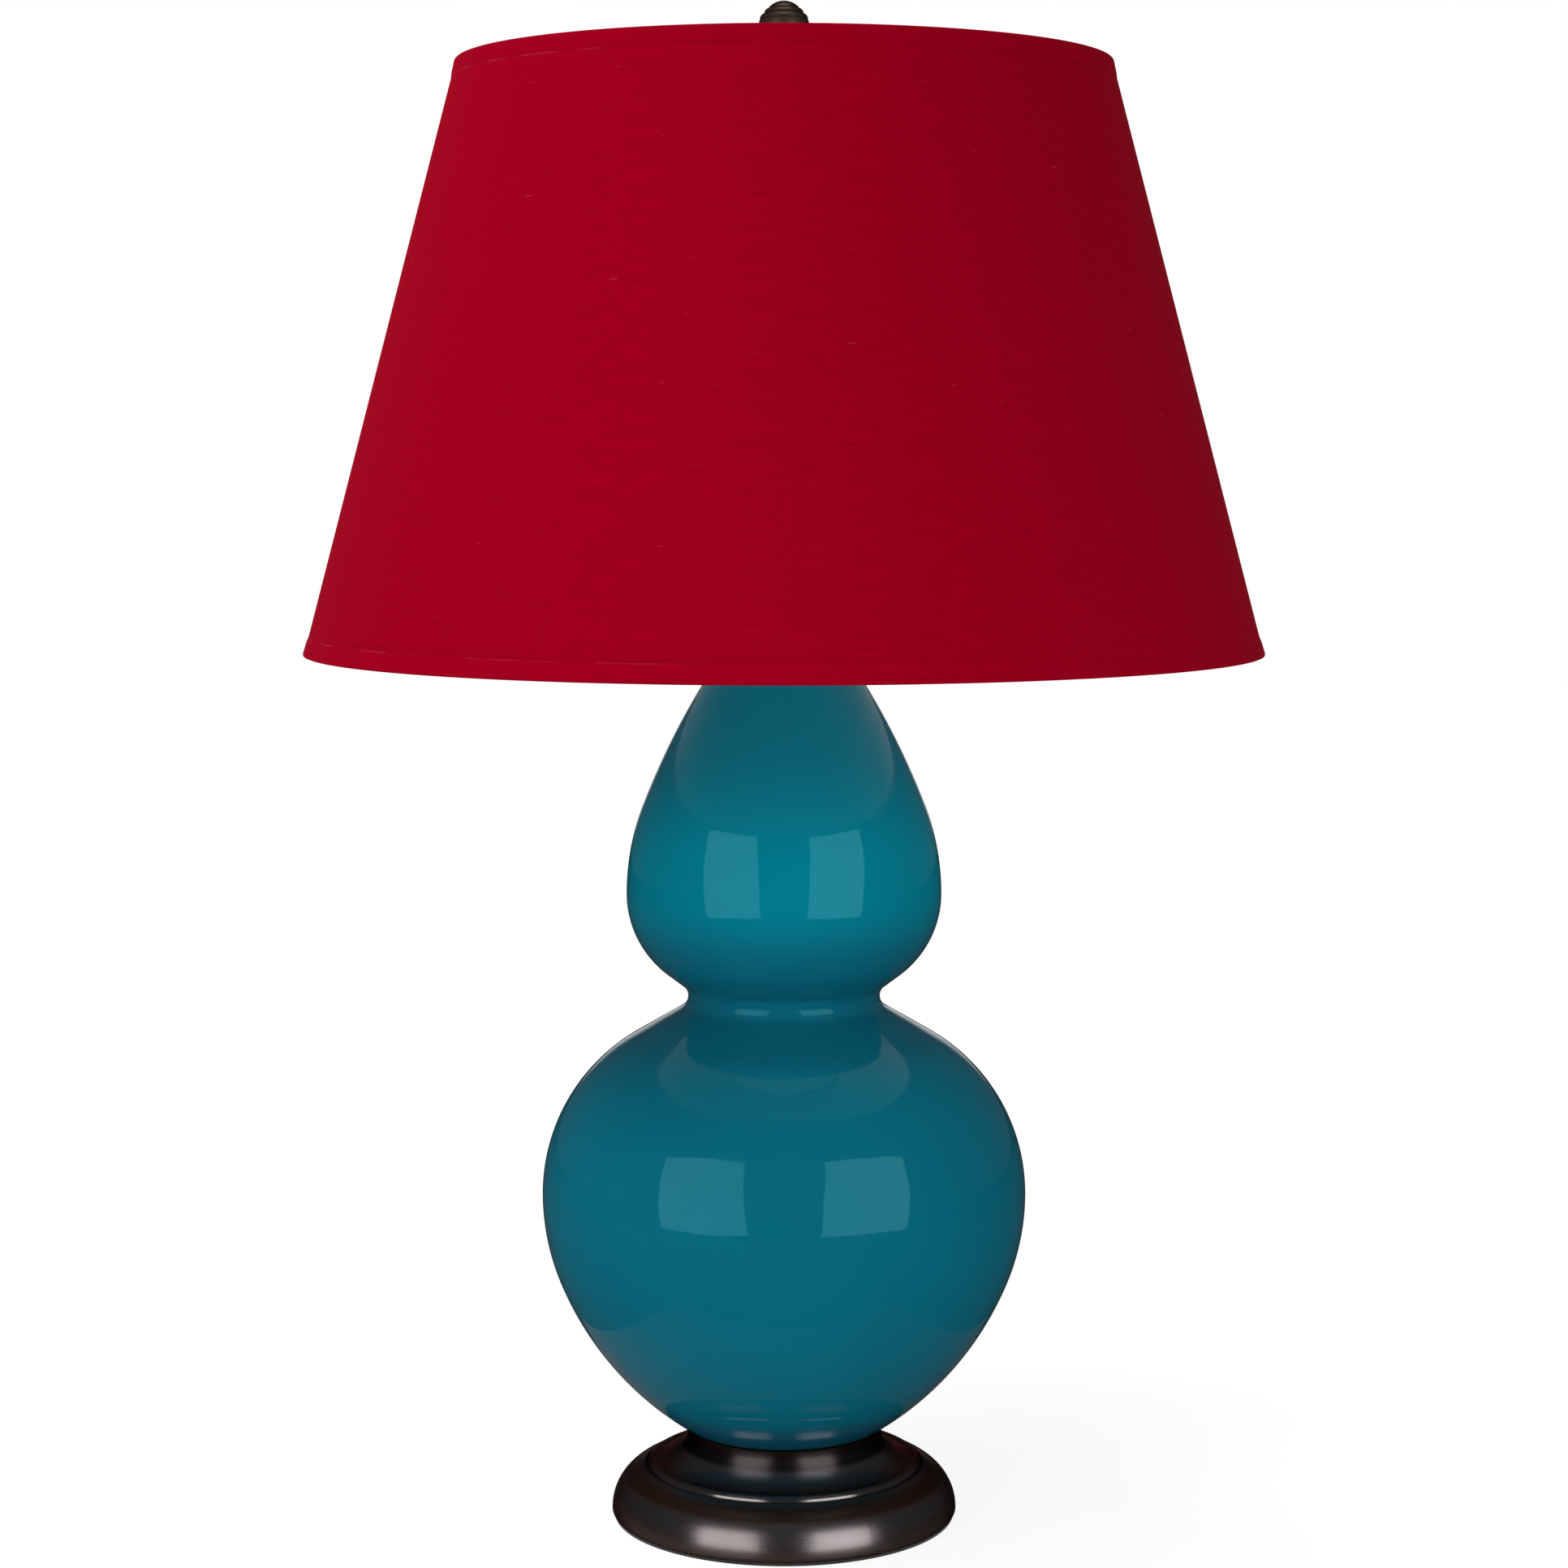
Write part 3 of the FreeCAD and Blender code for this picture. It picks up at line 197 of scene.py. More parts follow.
def plain_finish(name, size, colours, roughness, height, **constants):
    """A finish whose colour, gloss and height change slowly, in patches of a size in mm."""
    material, tree, shader, place = finish(name, **constants)
    patch = add(tree, "TexNoise", {"Vector": place, "Scale": 1 / (size * MM), "Detail": 5.0,
                                   "Roughness": 0.6}).outputs["Fac"]
    spread = add(tree, "MapRange", {"Value": patch, "From Min": NOISE_LOW,
                                    "From Max": NOISE_HIGH}).outputs[0]
    colour = add(tree, "Mix", {0: spread, MIX_A: linear(colours[0]), MIX_B: linear(colours[1])},
                 data_type="RGBA").outputs[MIX_OUT]
    gloss = add(tree, "MapRange", {"Value": patch, "From Min": NOISE_LOW, "From Max": NOISE_HIGH,
                                   "To Min": roughness[0], "To Max": roughness[1]}).outputs[0]
    lift = add(tree, "Bump", {"Height": patch, "Distance": height * MM}).outputs[0]
    tree.links.new(colour, shader.inputs["Base Color"])
    tree.links.new(gloss, shader.inputs["Roughness"])
    tree.links.new(lift, shader.inputs["Normal"])
    return material


def height_band(tree, place, low, high, soft):
    """1 between two heights in millimetres, fading to 0 over a soft edge."""
    z = add(tree, "SeparateXYZ", {0: place}).outputs["Z"]
    rise = add(tree, "MapRange", {"Value": z, "From Min": (low - soft) * MM, "From Max": low * MM},
               interpolation_type="SMOOTHSTEP").outputs[0]
    fall = add(tree, "MapRange", {"Value": z, "From Min": high * MM,
                                  "From Max": (high + soft) * MM, "To Min": 1.0, "To Max": 0.0},
               interpolation_type="SMOOTHSTEP").outputs[0]
    return add(tree, "Math", {0: rise, 1: fall}, operation="MULTIPLY").outputs[0]


# darker bands: lowest and highest level, soft edge and share of the darker colour. Painted shade on
# the lower bulb and round the neck under the shade; in the waist and at the foot partly pooled
# glaze, partly painted shade
DARK_BANDS = {"lower bulb": (40, 246, 16, 0.46), "waist": (255, 294, 34, 0.6),
        "foot": (40, 56, 26, 0.85), "neck": (405, 470, 60, 0.46)}


def teal_glaze():
    """Glossy coloured glaze on stoneware, painted darker as shade on the lower bulb and round the
    neck under the shade. Dipped and fired, it runs down and pools, so it is darker in the waist and
    at the foot, partly from pooling and partly as painted shade, and its gloss shows the marks of
    throwing there."""
    material, tree, shader, place = finish(
        "teal_glaze", Roughness=0.045, IOR=1.5, Specular_Tint=linear("#6CD0D4"))
    # clouds of colour about 70 mm across
    cloud = add(tree, "TexNoise", {"Vector": place, "Scale": 1 / (70 * MM),
                                   "Detail": 3.0}).outputs["Fac"]
    base = add(tree, "Mix", {0: cloud, MIX_A: linear("#027C91"), MIX_B: linear("#02869C")},
               data_type="RGBA").outputs[MIX_OUT]
    bands = {part: height_band(tree, place, *run[:3]) for part, run in DARK_BANDS.items()}
    depth = 0.0
    for part, run in DARK_BANDS.items():
        share = add(tree, "Math", {0: bands[part], 1: run[3]}, operation="MULTIPLY").outputs[0]
        depth = add(tree, "Math", {0: share, 1: depth}, operation="MAXIMUM").outputs[0]
    # the darker colour is painted shade on the lower bulb and neck, and pooled glaze with painted
    # shade in the waist and at the foot
    colour = add(tree, "Mix", {0: depth, MIX_A: base, MIX_B: linear("#10536A")},
                 data_type="RGBA").outputs[MIX_OUT]
    # finger marks of throwing run round the pot 31 mm apart and 0.05 mm high
    pooled = add(tree, "Math", {0: bands["waist"], 1: bands["foot"]},
                 operation="MAXIMUM").outputs[0]
    rings = add(tree, "TexWave", {"Vector": place, "Scale": WAVE / (THROWING * MM),
                                  "Distortion": 1.6, "Detail": 2.0, "Detail Scale": 1.4},
                bands_direction="Z").outputs["Fac"]
    marked = add(tree, "Math", {0: rings, 1: pooled}, operation="MULTIPLY").outputs[0]
    ringed = add(tree, "Bump", {"Height": marked, "Distance": 0.05 * MM}).outputs[0]
    # the glaze itself is uneven by 0.22 mm over 26 mm
    ripple = add(tree, "TexNoise", {"Vector": place, "Scale": 1 / (26 * MM),
                                    "Detail": 1.0}).outputs["Fac"]
    uneven = add(tree, "Bump", {"Height": ripple, "Distance": 0.22 * MM,
                                "Normal": ringed}).outputs[0]
    tree.links.new(colour, shader.inputs["Base Color"])
    tree.links.new(uneven, shader.inputs["Normal"])
    return material


# levels of the base in millimetres: lowest, highest and soft edge
BASE = {"neck": (38, 47, 2.5), "ledge": (28.8, 31, 1.2), "ring": (25.5, 28.5, 1),
        "under ring": (21, 24.3, 3), "rim": (0.5, 2.0, 1.5)}
BRUSH_LENGTH, BRUSH_GAP = 60, 0.03


def aged_bronze(name, lacquers, gloss_range, anisotropy):
    """Dark brown lacquer over spun metal, brushed round the axis: soft reflections drawn out across
    the brush lines, copper showing where edges are rubbed bare, and painted shade in the hollow neck
    and under the ring."""
    material, tree, shader, place = finish(
        name, Specular_Tint=linear("#6E5446"), Anisotropic=anisotropy, Anisotropic_Rotation=0.25)
    band = {part: height_band(tree, place, *levels) for part, levels in BASE.items()}
    # Brush lines are 0.03 mm apart, as on the real metal, and change over 60 mm along it. They
    # aren't seen one by one but blur what it reflects. The noise scales W by its scale too.
    flat = add(tree, "VectorMath", {0: place, 1: (1, 1, 0)}, operation="MULTIPLY").outputs[0]
    radius = add(tree, "VectorMath", {0: flat}, operation="LENGTH").outputs["Value"]
    z = add(tree, "SeparateXYZ", {0: place}).outputs["Z"]
    across = add(tree, "Math", {0: radius, 1: z}, operation="SUBTRACT").outputs[0]
    lines = add(tree, "Math", {0: across, 1: BRUSH_LENGTH / BRUSH_GAP},
                operation="MULTIPLY").outputs[0]
    brush = add(tree, "TexNoise", {"Vector": place, "W": lines, "Scale": 1 / (BRUSH_LENGTH * MM),
                                   "Detail": 2.0}, noise_dimensions="4D").outputs["Fac"]
    # the smoked colour of the lacquer changes over 35 mm
    smoke = add(tree, "TexNoise", {"Vector": place, "Scale": 1 / (35 * MM),
                                   "Detail": 4.0}).outputs["Fac"]
    lacquer = add(tree, "Mix", {0: smoke, MIX_A: linear(lacquers[0]), MIX_B: linear(lacquers[1])},
                  data_type="RGBA").outputs[MIX_OUT]
    # painted shade: black in the hollow neck of the base, and brown and less metallic under its ring
    painted_neck_shade = add(tree, "Math", {0: band["neck"], 1: 0.87}, operation="MULTIPLY").outputs[0]
    lacquer = add(tree, "Mix", {0: painted_neck_shade, MIX_A: lacquer, MIX_B: linear("#2B2625")},
                  data_type="RGBA").outputs[MIX_OUT]
    # painted shade under the ring: a brown band, less metallic
    lacquer = add(tree, "Mix", {0: band["under ring"], MIX_A: lacquer, MIX_B: linear("#5C4236")},
                  data_type="RGBA").outputs[MIX_OUT]
    metal = add(tree, "MapRange", {"Value": band["under ring"], "To Min": 0.97,
                                   "To Max": 0.87}).outputs[0]
    # it is rubbed thin in patches on the ledge over the ring and on the lowest rim
    rubbed = add(tree, "Math", {0: band["ledge"], 1: band["rim"]}, operation="MAXIMUM").outputs[0]
    patchy = add(tree, "MapRange", {"Value": smoke, "From Min": 0.35, "From Max": 0.65}).outputs[0]
    thin = add(tree, "Math", {0: patchy, 1: 0.3}, operation="MULTIPLY").outputs[0]
    worn = add(tree, "Math", {0: rubbed, 1: thin}, operation="MULTIPLY").outputs[0]
    colour = add(tree, "Mix", {0: worn, MIX_A: lacquer, MIX_B: linear("#8A5A42")},
                 data_type="RGBA").outputs[MIX_OUT]
    # the ring is rubbed smoother than the rest
    even = add(tree, "MapRange", {"Value": brush, "From Min": NOISE_LOW, "From Max": NOISE_HIGH,
                                  "To Min": gloss_range[0], "To Max": gloss_range[1]}).outputs[0]
    rubbing = add(tree, "MapRange", {"Value": band["ring"], "To Min": 1.0, "To Max": 0.6}).outputs[0]
    gloss = add(tree, "Math", {0: even, 1: rubbing}, operation="MULTIPLY").outputs[0]
    lift = add(tree, "Bump", {"Height": brush, "Distance": 0.006 * MM}).outputs[0]
    tangent = add(tree, "Tangent", direction_type="RADIAL", axis="Z").outputs[0]
    tree.links.new(colour, shader.inputs["Base Color"])
    tree.links.new(metal, shader.inputs["Metallic"])
    tree.links.new(gloss, shader.inputs["Roughness"])
    tree.links.new(lift, shader.inputs["Normal"])
    tree.links.new(tangent, shader.inputs["Tangent"])
    return material


EDGE_LIGHT_INSET = 0.2                       # the painted highlight line lies this far inside a binding's edge
EDGE_LIGHT_HALF = 0.35                 # half its width


def painted_edge_highlight(tree):
    """A painted highlight: a pale line along the cut edges of the bindings, on the left where the
    key light falls.
    """
    place = add(tree, "TexCoord").outputs["Object"]
    heights = (SHADE_TOP[1] - HEM + EDGE_LIGHT_INSET, SHADE_BOTTOM[1] + HEM - EDGE_LIGHT_INSET)
    edges = [height_band(tree, place, height - EDGE_LIGHT_HALF, height + EDGE_LIGHT_HALF, 0.2)
             for height in heights]
    edge = add(tree, "Math", {0: edges[0], 1: edges[1]}, operation="MAXIMUM").outputs[0]
    # it is broken into stretches of about 22 mm
    ends = add(tree, "TexNoise", {"Vector": place, "Scale": 1 / (22 * MM),
                                  "Detail": 4.0}).outputs["Fac"]
    lit_stretches = add(tree, "MapRange", {"Value": ends, "From Min": 0.42, "From Max": 0.6}).outputs[0]
    # the painted highlight shows only on the left, the side the key light falls on
    x = add(tree, "SeparateXYZ", {0: place}).outputs["X"]
    lit_side = add(tree, "MapRange", {"Value": x, "From Min": -30 * MM,
                                    "From Max": -120 * MM}).outputs[0]
    lit_parts = add(tree, "Math", {0: lit_stretches, 1: lit_side}, operation="MULTIPLY").outputs[0]
    edge_light = add(tree, "Math", {0: edge, 1: lit_parts}, operation="MULTIPLY").outputs[0]
    return add(tree, "Math", {0: edge_light, 1: 0.13}, operation="MULTIPLY").outputs[0]


def red_cloth(name, grain_turn=0.0, lit_edge_line=False):
    """Plain woven red cotton, dyed in the piece: matt, with a soft sheen towards the edges,
    slubs that run along the threads and a few undyed flecks. Its UV map is its flat cut in
    metres, so the threads follow the cut."""
    material, tree, shader, flat = finish(
        name, "UV", Roughness=0.85, IOR=1.45, Specular_IOR_Level=0.08,
        Specular_Tint=linear("#B81830"), Sheen_Weight=0.2, Sheen_Roughness=0.4,
        Sheen_Tint=linear("#E01030"))
    turned = add(tree, "Mapping", {"Vector": flat,
                                   "Rotation": (0, 0, math.radians(grain_turn))}).outputs[0]
    # threads are 0.35 mm apart, which is too fine to show, so the weave is drawn as coarse as
    # 5 mm and so soft that it only makes the cloth a little uneven
    weave = []
    for direction in ("X", "Y"):
        weave.append(add(tree, "TexWave", {"Vector": turned, "Scale": WAVE / (WEAVE * MM),
                                           "Distortion": 1.0, "Detail": 1.0, "Detail Scale": 0.5},
                         bands_direction=direction).outputs["Fac"])
    cloth = add(tree, "Math", {0: weave[0], 1: weave[1]}, operation="MULTIPLY").outputs[0]
    # slubs 0.7 mm thick and about 25 mm long, along the weft
    stretch = add(tree, "Mapping", {"Vector": turned,
                                    "Scale": (1 / (25 * MM), 1 / (0.7 * MM), 1)}).outputs[0]
    slub = add(tree, "TexNoise", {"Vector": stretch, "Scale": 1.0, "Detail": 3.0}).outputs["Fac"]
    thread = add(tree, "MapRange", {"Value": slub, "From Min": 0.35, "From Max": 0.68}).outputs[0]
    dyed = add(tree, "Mix", {0: thread, MIX_A: linear("#92001A"), MIX_B: linear("#9D001D")},
               data_type="RGBA").outputs[MIX_OUT]
    # undyed flecks are the peaks of patches 12 mm long and 1.2 mm thick, so they are smaller
    sparse = add(tree, "Mapping", {"Vector": turned, "Location": (3, 7, 0),
                                   "Scale": (1 / (12 * MM), 1 / (1.2 * MM), 1)}).outputs[0]
    fleck = add(tree, "TexNoise", {"Vector": sparse, "Scale": 1.0, "Detail": 0.0}).outputs["Fac"]
    shown = add(tree, "MapRange", {"Value": fleck, "From Min": 0.86, "From Max": 0.9}).outputs[0]
    flecks_and_edge_light = add(tree, "Math", {0: shown, 1: 0.2}, operation="MULTIPLY").outputs[0]
    # the bindings get the painted edge highlight, in the same pale colour as the flecks
    if lit_edge_line:
        flecks_and_edge_light = add(tree, "Math", {0: painted_edge_highlight(tree), 1: flecks_and_edge_light},
                     operation="MAXIMUM").outputs[0]
    colour = add(tree, "Mix", {0: flecks_and_edge_light, MIX_A: dyed, MIX_B: linear("#D06070")},
                 data_type="RGBA").outputs[MIX_OUT]
    raised = add(tree, "Bump", {"Height": cloth, "Distance": 0.06 * MM}).outputs[0]
    uneven = add(tree, "Bump", {"Height": slub, "Distance": 0.05 * MM, "Normal": raised}).outputs[0]
    tree.links.new(colour, shader.inputs["Base Color"])
    tree.links.new(uneven, shader.inputs["Normal"])
    return material


def black_felt():
    """Pressed wool felt: dull, soft and fibrous."""
    material, tree, shader, place = finish("black_felt", Roughness=0.95, Sheen_Weight=0.5,
                                           Sheen_Roughness=0.6, Specular_IOR_Level=0.1)
    # fibres 0.1 mm thick, drawn at 0.4 mm so that they show
    fibre = add(tree, "TexNoise", {"Vector": place, "Scale": 1 / (0.4 * MM), "Detail": 4.0,
                                   "Distortion": 1.5}).outputs["Fac"]
    colour = add(tree, "Mix", {0: fibre, MIX_A: linear("#141414"), MIX_B: linear("#2E2D2C")},
                 data_type="RGBA").outputs[MIX_OUT]
    lift = add(tree, "Bump", {"Height": fibre, "Distance": 0.3 * MM}).outputs[0]
    tree.links.new(colour, shader.inputs["Base Color"])
    tree.links.new(lift, shader.inputs["Normal"])
    return material


GLAZE = teal_glaze()
BRONZE = aged_bronze("oil_rubbed_bronze", ("#7A7171", "#918A8B"), (0.22, 0.28), 0.5)
KNOB_BRONZE = aged_bronze("satin_bronze", ("#8C7A6A", "#9B8777"), (0.3, 0.38), 0.2)
CLOTH = red_cloth("red_woven_cotton")
BINDING = red_cloth("red_cotton_binding", grain_turn=4.0, lit_edge_line=True)
# patch size in mm, two colours, roughness range, height in mm
PLAIN = {
    # extruded styrene sheet: off-white, satin, almost even
    "liner": plain_finish("white_styrene", 60, ("#EFEAE0", "#F7F4EC"), (0.38, 0.5), 0.05, IOR=1.59),
    # nickel-plated steel wire: grey, bright, slightly streaked
    "ring_steel": plain_finish("nickel_plated_steel", 8, ("#8F8E8A", "#A9A7A2"), (0.22, 0.34), 0.01,
                               Metallic=1.0),
    # brass-plated drawn steel, buffed: warm, mirror-like with dull finger marks
    "brass": plain_finish("polished_brass", 14, ("#B88A3E", "#D2A85A"), (0.14, 0.3), 0.01,
                          Metallic=1.0),
    # bright zinc plating: bluish grey crystals
    "zinc_steel": plain_finish("zinc_plated_steel", 5, ("#8A8D90", "#A4A7AA"), (0.3, 0.45), 0.02,
                               Metallic=1.0),
    # sand-cast iron: nearly black, grainy
    "iron": plain_finish("cast_iron", 1.2, ("#2A2928", "#3C3A38"), (0.6, 0.8), 0.25, Metallic=0.6),
    # pressed wood fibre: brown, flecked
    "board": plain_finish("pressed_fibreboard", 2.5, ("#5E4530", "#7C5F45"), (0.75, 0.9), 0.1),
    # moulded rubber: black and dull
    "rubber": plain_finish("black_rubber", 6, ("#141414", "#1D1D1C"), (0.55, 0.75), 0.03),
    # moulded phenolic: black-brown with a dull moulded gloss
    "phenolic": plain_finish("moulded_phenolic", 3, ("#171412", "#241F1B"), (0.3, 0.42), 0.03),
    # vulcanised fibre paper: brown, matt
    "fibre": plain_finish("vulcanised_fibre", 4, ("#7A6244", "#8E7453"), (0.6, 0.75), 0.05),
    # injection-moulded plastic: black, half gloss, very fine spark-eroded grain
    "black_plastic": plain_finish("moulded_black_plastic", 0.8, ("#0F0F10", "#161617"),
                                  (0.26, 0.36), 0.02, IOR=1.49),
    # drawn aluminium: pale, soft gloss
    "aluminium": plain_finish("drawn_aluminium", 6, ("#B4B5B6", "#C8C9CA"), (0.28, 0.4), 0.02,
                              Metallic=1.0),
    # glass with a white silica coat inside: milky, with a clear glass gloss
    "frosted_glass": plain_finish("silica_coated_glass", 30, ("#EDEBE6", "#F6F5F1"), (0.12, 0.2),
                                  0.01, IOR=1.52, Transmission_Weight=0.15),
}
FINISHES = dict(PLAIN, glaze=GLAZE, bronze=BRONZE, red_fabric=CLOTH, felt=black_felt())


def dress_cad_nodes():
    """Gives every CAD node the finish of its slot, whose name its loaded material has.
    The finial is a lighter bronze than the base."""
    slots = {name: [place.material.name for place in node.material_slots]
             for name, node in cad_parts.items()}
    for name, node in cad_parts.items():
        for place, slot in zip(node.material_slots, slots[name]):
            place.material = KNOB_BRONZE if name == "finial" else FINISHES[slot]


dress_cad_nodes()

# ---------------------------------------------------------------- ceramic body
# degrees between the points of its arcs, finer on the larger radii
LARGE_ARC, SHOULDER_ARC, UNDER_ARC, WAIST_ARC, LIP_ARC = 0.9, 1.2, 1.6, 8, 15


def beside(widest, arc):
    """Centre and far end of the arc that leaves a bulb's widest point."""
    radius, degrees = arc
    turn = math.radians(degrees)
    centre = (widest[0] - radius, widest[1])
    return centre, (centre[0] + radius * math.cos(turn), centre[1] + radius * math.sin(turn))


def carry_on(point, centre, target):
    """Centre of the arc that carries a curve on from point to target without a corner."""
    inward = (Vector(centre) - Vector(point)).normalized()
    chord = Vector(target) - Vector(point)
    return Vector(point) + inward * (chord.length_squared / (2 * inward.dot(chord)))


def waist(shoulder, under):
    """Ends and centre of the hollow between the straight flanks of the two bulbs."""
    lower = math.radians(SHOULDER[1])
    upper = math.radians(-UNDER[1])
    up = Vector((-math.sin(lower), math.cos(lower)))
    down = Vector((-math.sin(upper), -math.cos(upper)))
    span = Vector(under) - Vector(shoulder)
    corner = Vector(shoulder) + up * (span.cross(down) / up.cross(down))
    reach = WAIST_FILLET * math.tan((lower + upper) / 2)
    start = corner - up * reach
    centre = start + Vector((math.cos(lower), math.sin(lower))) * WAIST_FILLET
    return start, corner - down * reach, centre


def gourd():
    """The glazed gourd with softened edges at its foot and its neck, and its hollow inside."""
    flank_centre, flank = beside(BELLY, FLANK)
    shoulder_centre, shoulder = beside(BELLY, SHOULDER)
    under_centre, under = beside(BULB, UNDER)
    crown_centre, crown = beside(BULB, CROWN)
    waist_start, waist_end, waist_centre = waist(shoulder, under)
    # the outside, from the foot up
    outline = Outline(PIPE_HOLE, FOOT[1]).line(FOOT[0] - EDGE, FOOT[1]).line(*FOOT)
    outline.arc(carry_on(flank, flank_centre, FOOT), flank, LARGE_ARC)
    outline.arc(flank_centre, BELLY, LARGE_ARC)
    outline.arc(shoulder_centre, shoulder, SHOULDER_ARC).line(*waist_start, steps=8)
    outline.arc(waist_centre, waist_end, WAIST_ARC).line(*under, steps=4)
    outline.arc(under_centre, BULB, UNDER_ARC).arc(crown_centre, crown, LARGE_ARC)
    outline.arc(carry_on(crown, crown_centre, NECK), NECK, LARGE_ARC)
    outline.line(NECK[0], NECK_TOP - EDGE)
    lip = NECK[0] - EDGE
    outline.arc((lip, NECK_TOP - EDGE), (lip, NECK_TOP), LIP_ARC)
    # the inside, from the neck down
    outline.line(NECK[0] - WALL, NECK_TOP).line(NECK[0] - WALL, NECK[1])
    outline.line(crown[0] - WALL, crown[1]).line(BULB[0] - WALL, BULB[1])
    outline.line(waist_end[0] - WALL, waist_end[1])
    outline.line(waist_centre.x - 2 * WALL, waist_centre.y)
    outline.line(waist_start[0] - WALL, waist_start[1]).line(shoulder[0] - WALL, shoulder[1])
    outline.line(BELLY[0] - WALL, BELLY[1]).line(flank[0] - WALL, flank[1])
    outline.line(FOOT[0], FOOT[1] + FLOOR).line(PIPE_HOLE, FOOT[1] + FLOOR)
    return outline.line(PIPE_HOLE, FOOT[1]).turned()


body = piece("glazed_gourd", gourd(), "root", GLAZE)
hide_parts("ceramic_body")

# ---------------------------------------------------------------- shade
CLOTH_THICK = 0.5
CLOTH_DEPTH = 0.85               # its middle lies this deep inside the outermost surface
CLOTH_INSET = 0.8                # it ends this far inside the rims
LAP_STEPS = 4                    # steps of the turn in the overlap
LAP_RISE = 0.55                  # the end on top lies this much further out
LAP_FADE = 9                     # and rises to there over this many steps
FEATHER = 2.5                    # a binding's edge thins out over this height
LIP = 5.5                        # height of its lip on the inside
WIRE_DEPTH = 2.75                # its fold reaches this far inside a wire ring's outer radius


def shade_radius(height, depth):
    """Radius of a layer that lies depth millimetres inside the outermost surface."""
    return SHADE_TOP[0] + (SHADE_TOP[1] - height) * LEAN - depth * math.hypot(1, LEAN)


def lay_flat(made):
    """Gives a cone's faces their place on the flat cut as a UV map in metres."""
    data = made.data
    cut = data.uv_layers.new(name="flat_cut")
    apex = (SHADE_TOP[1] + SHADE_TOP[0] / LEAN) * MM
    share = math.sin(HALF_ANGLE)
    for face in data.polygons:
        middle = math.atan2(face.center.x, -face.center.y)
        for loop in face.loop_indices:
            point = data.vertices[data.loops[loop].vertex_index].co
            round_axis = math.atan2(point.x, -point.y)
            round_axis = middle + math.remainder(round_axis - middle, math.tau)
            slant = math.hypot(math.hypot(point.x, point.y), apex - point.z)
            cut.data[loop].uv = (slant * math.sin(round_axis * share),
                                 -slant * math.cos(round_axis * share))


def raise_lap(made):
    """Lifts the end of the rolled sheet over its start, fading out along the turn."""
    last = FINE_TURN + LAP_STEPS
    rows = len(made.data.vertices) // (last + 1)
    for number, corner in enumerate(made.data.vertices):
        ride = max(0.0, 1 - (last - number // rows) / LAP_FADE)
        outward = Vector((corner.co.x, corner.co.y, 0)).normalized()
        corner.co += outward * LAP_RISE * MM * ride * ride * (3 - 2 * ride)


def rolled_cloth():
    """The shade's flat cut rolled to a cone, whose ends overlap at the back."""
    low, high = SHADE_BOTTOM[1] + CLOTH_INSET, SHADE_TOP[1] - CLOTH_INSET
    outline = Outline(shade_radius(low, CLOTH_DEPTH), low)
    outline.line(shade_radius(high, CLOTH_DEPTH), high, steps=24)
    mesh = outline.turned(FINE_TURN + LAP_STEPS, start=BACK - LAP / 2, turn=360.0 + LAP)
    made = piece("shade_cloth", mesh, "shade", CLOTH)
    raise_lap(made)
    lay_flat(made)
    wall = made.modifiers.new("thickness", "SOLIDIFY")
    wall.thickness = CLOTH_THICK * MM
    wall.offset = 0.0
    return made


def hem(name, rim, inward, wire):
    """Bias binding folded over a rim and its wire: a band outside, a rounded fold, a lip inside.
    inward is the way along the axis from the rim to the shade's middle, 1 or -1."""
    end = rim + inward * HEM
    feather = end - inward * FEATHER
    fold = rim + inward * 0.9
    inside = rim + inward * 0.55
    lip = rim + inward * LIP
    inner = wire - WIRE_DEPTH
    # the band outside, from its edge to the fold, with its depths inside the outermost surface
    outline = Outline(shade_radius(end, 0.7), end).line(shade_radius(end, 0.56), end)
    outline.line(shade_radius(feather, 0.15), feather, steps=3)
    outline.line(shade_radius(fold, -0.1), fold, steps=6)
    outline.line(shade_radius(rim, 0.25), rim + inward * 0.25).line(shade_radius(rim, 0.9), rim)
    # over the wire, down the lip and back inside the fold
    outline.line(inner + 0.4, rim).line(inner - 0.5, rim + inward * 0.5)
    outline.line(inner - 0.6, lip, steps=3).line(inner - 0.1, lip)
    outline.line(inner - 0.05, inside).line(shade_radius(rim, 1.1), inside)
    outline.line(shade_radius(end, 0.7), end)
    made = piece(name, outline.turned(), "shade", BINDING)
    lay_flat(made)
    return made


cloth = rolled_cloth()
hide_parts("shade_fabric")

top_hem = hem("top_hem", SHADE_TOP[1], -1, TOP_WIRE)
bottom_hem = hem("bottom_hem", SHADE_BOTTOM[1], 1, BOTTOM_WIRE)
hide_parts("top_trim")
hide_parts("bottom_trim")


# ---------------------------------------------------------------- studio
AMBIENT = 0.22                   # strength of the light from all round
ROOM, CEILING, BACKDROP = 0.05, 0.5, 1.0     # strengths that the lamp's gloss shows
BEHIND = 0.955                   # cosine of 17 degrees from straight behind
OVERHEAD = (0.9, 0.95)           # cosines of 26 and 18 degrees from straight overhead
PLINTH = 198                     # half the side of the square plinth that it shows, mm
TABLE_RADIUS = 6.0               # metres
SHADOW_NEAR, SHADOW_FAR = 0.25, 0.9          # metres over which the floor fades to white
SHADOW_GLOW = 0.86               # its own brightness near the lamp


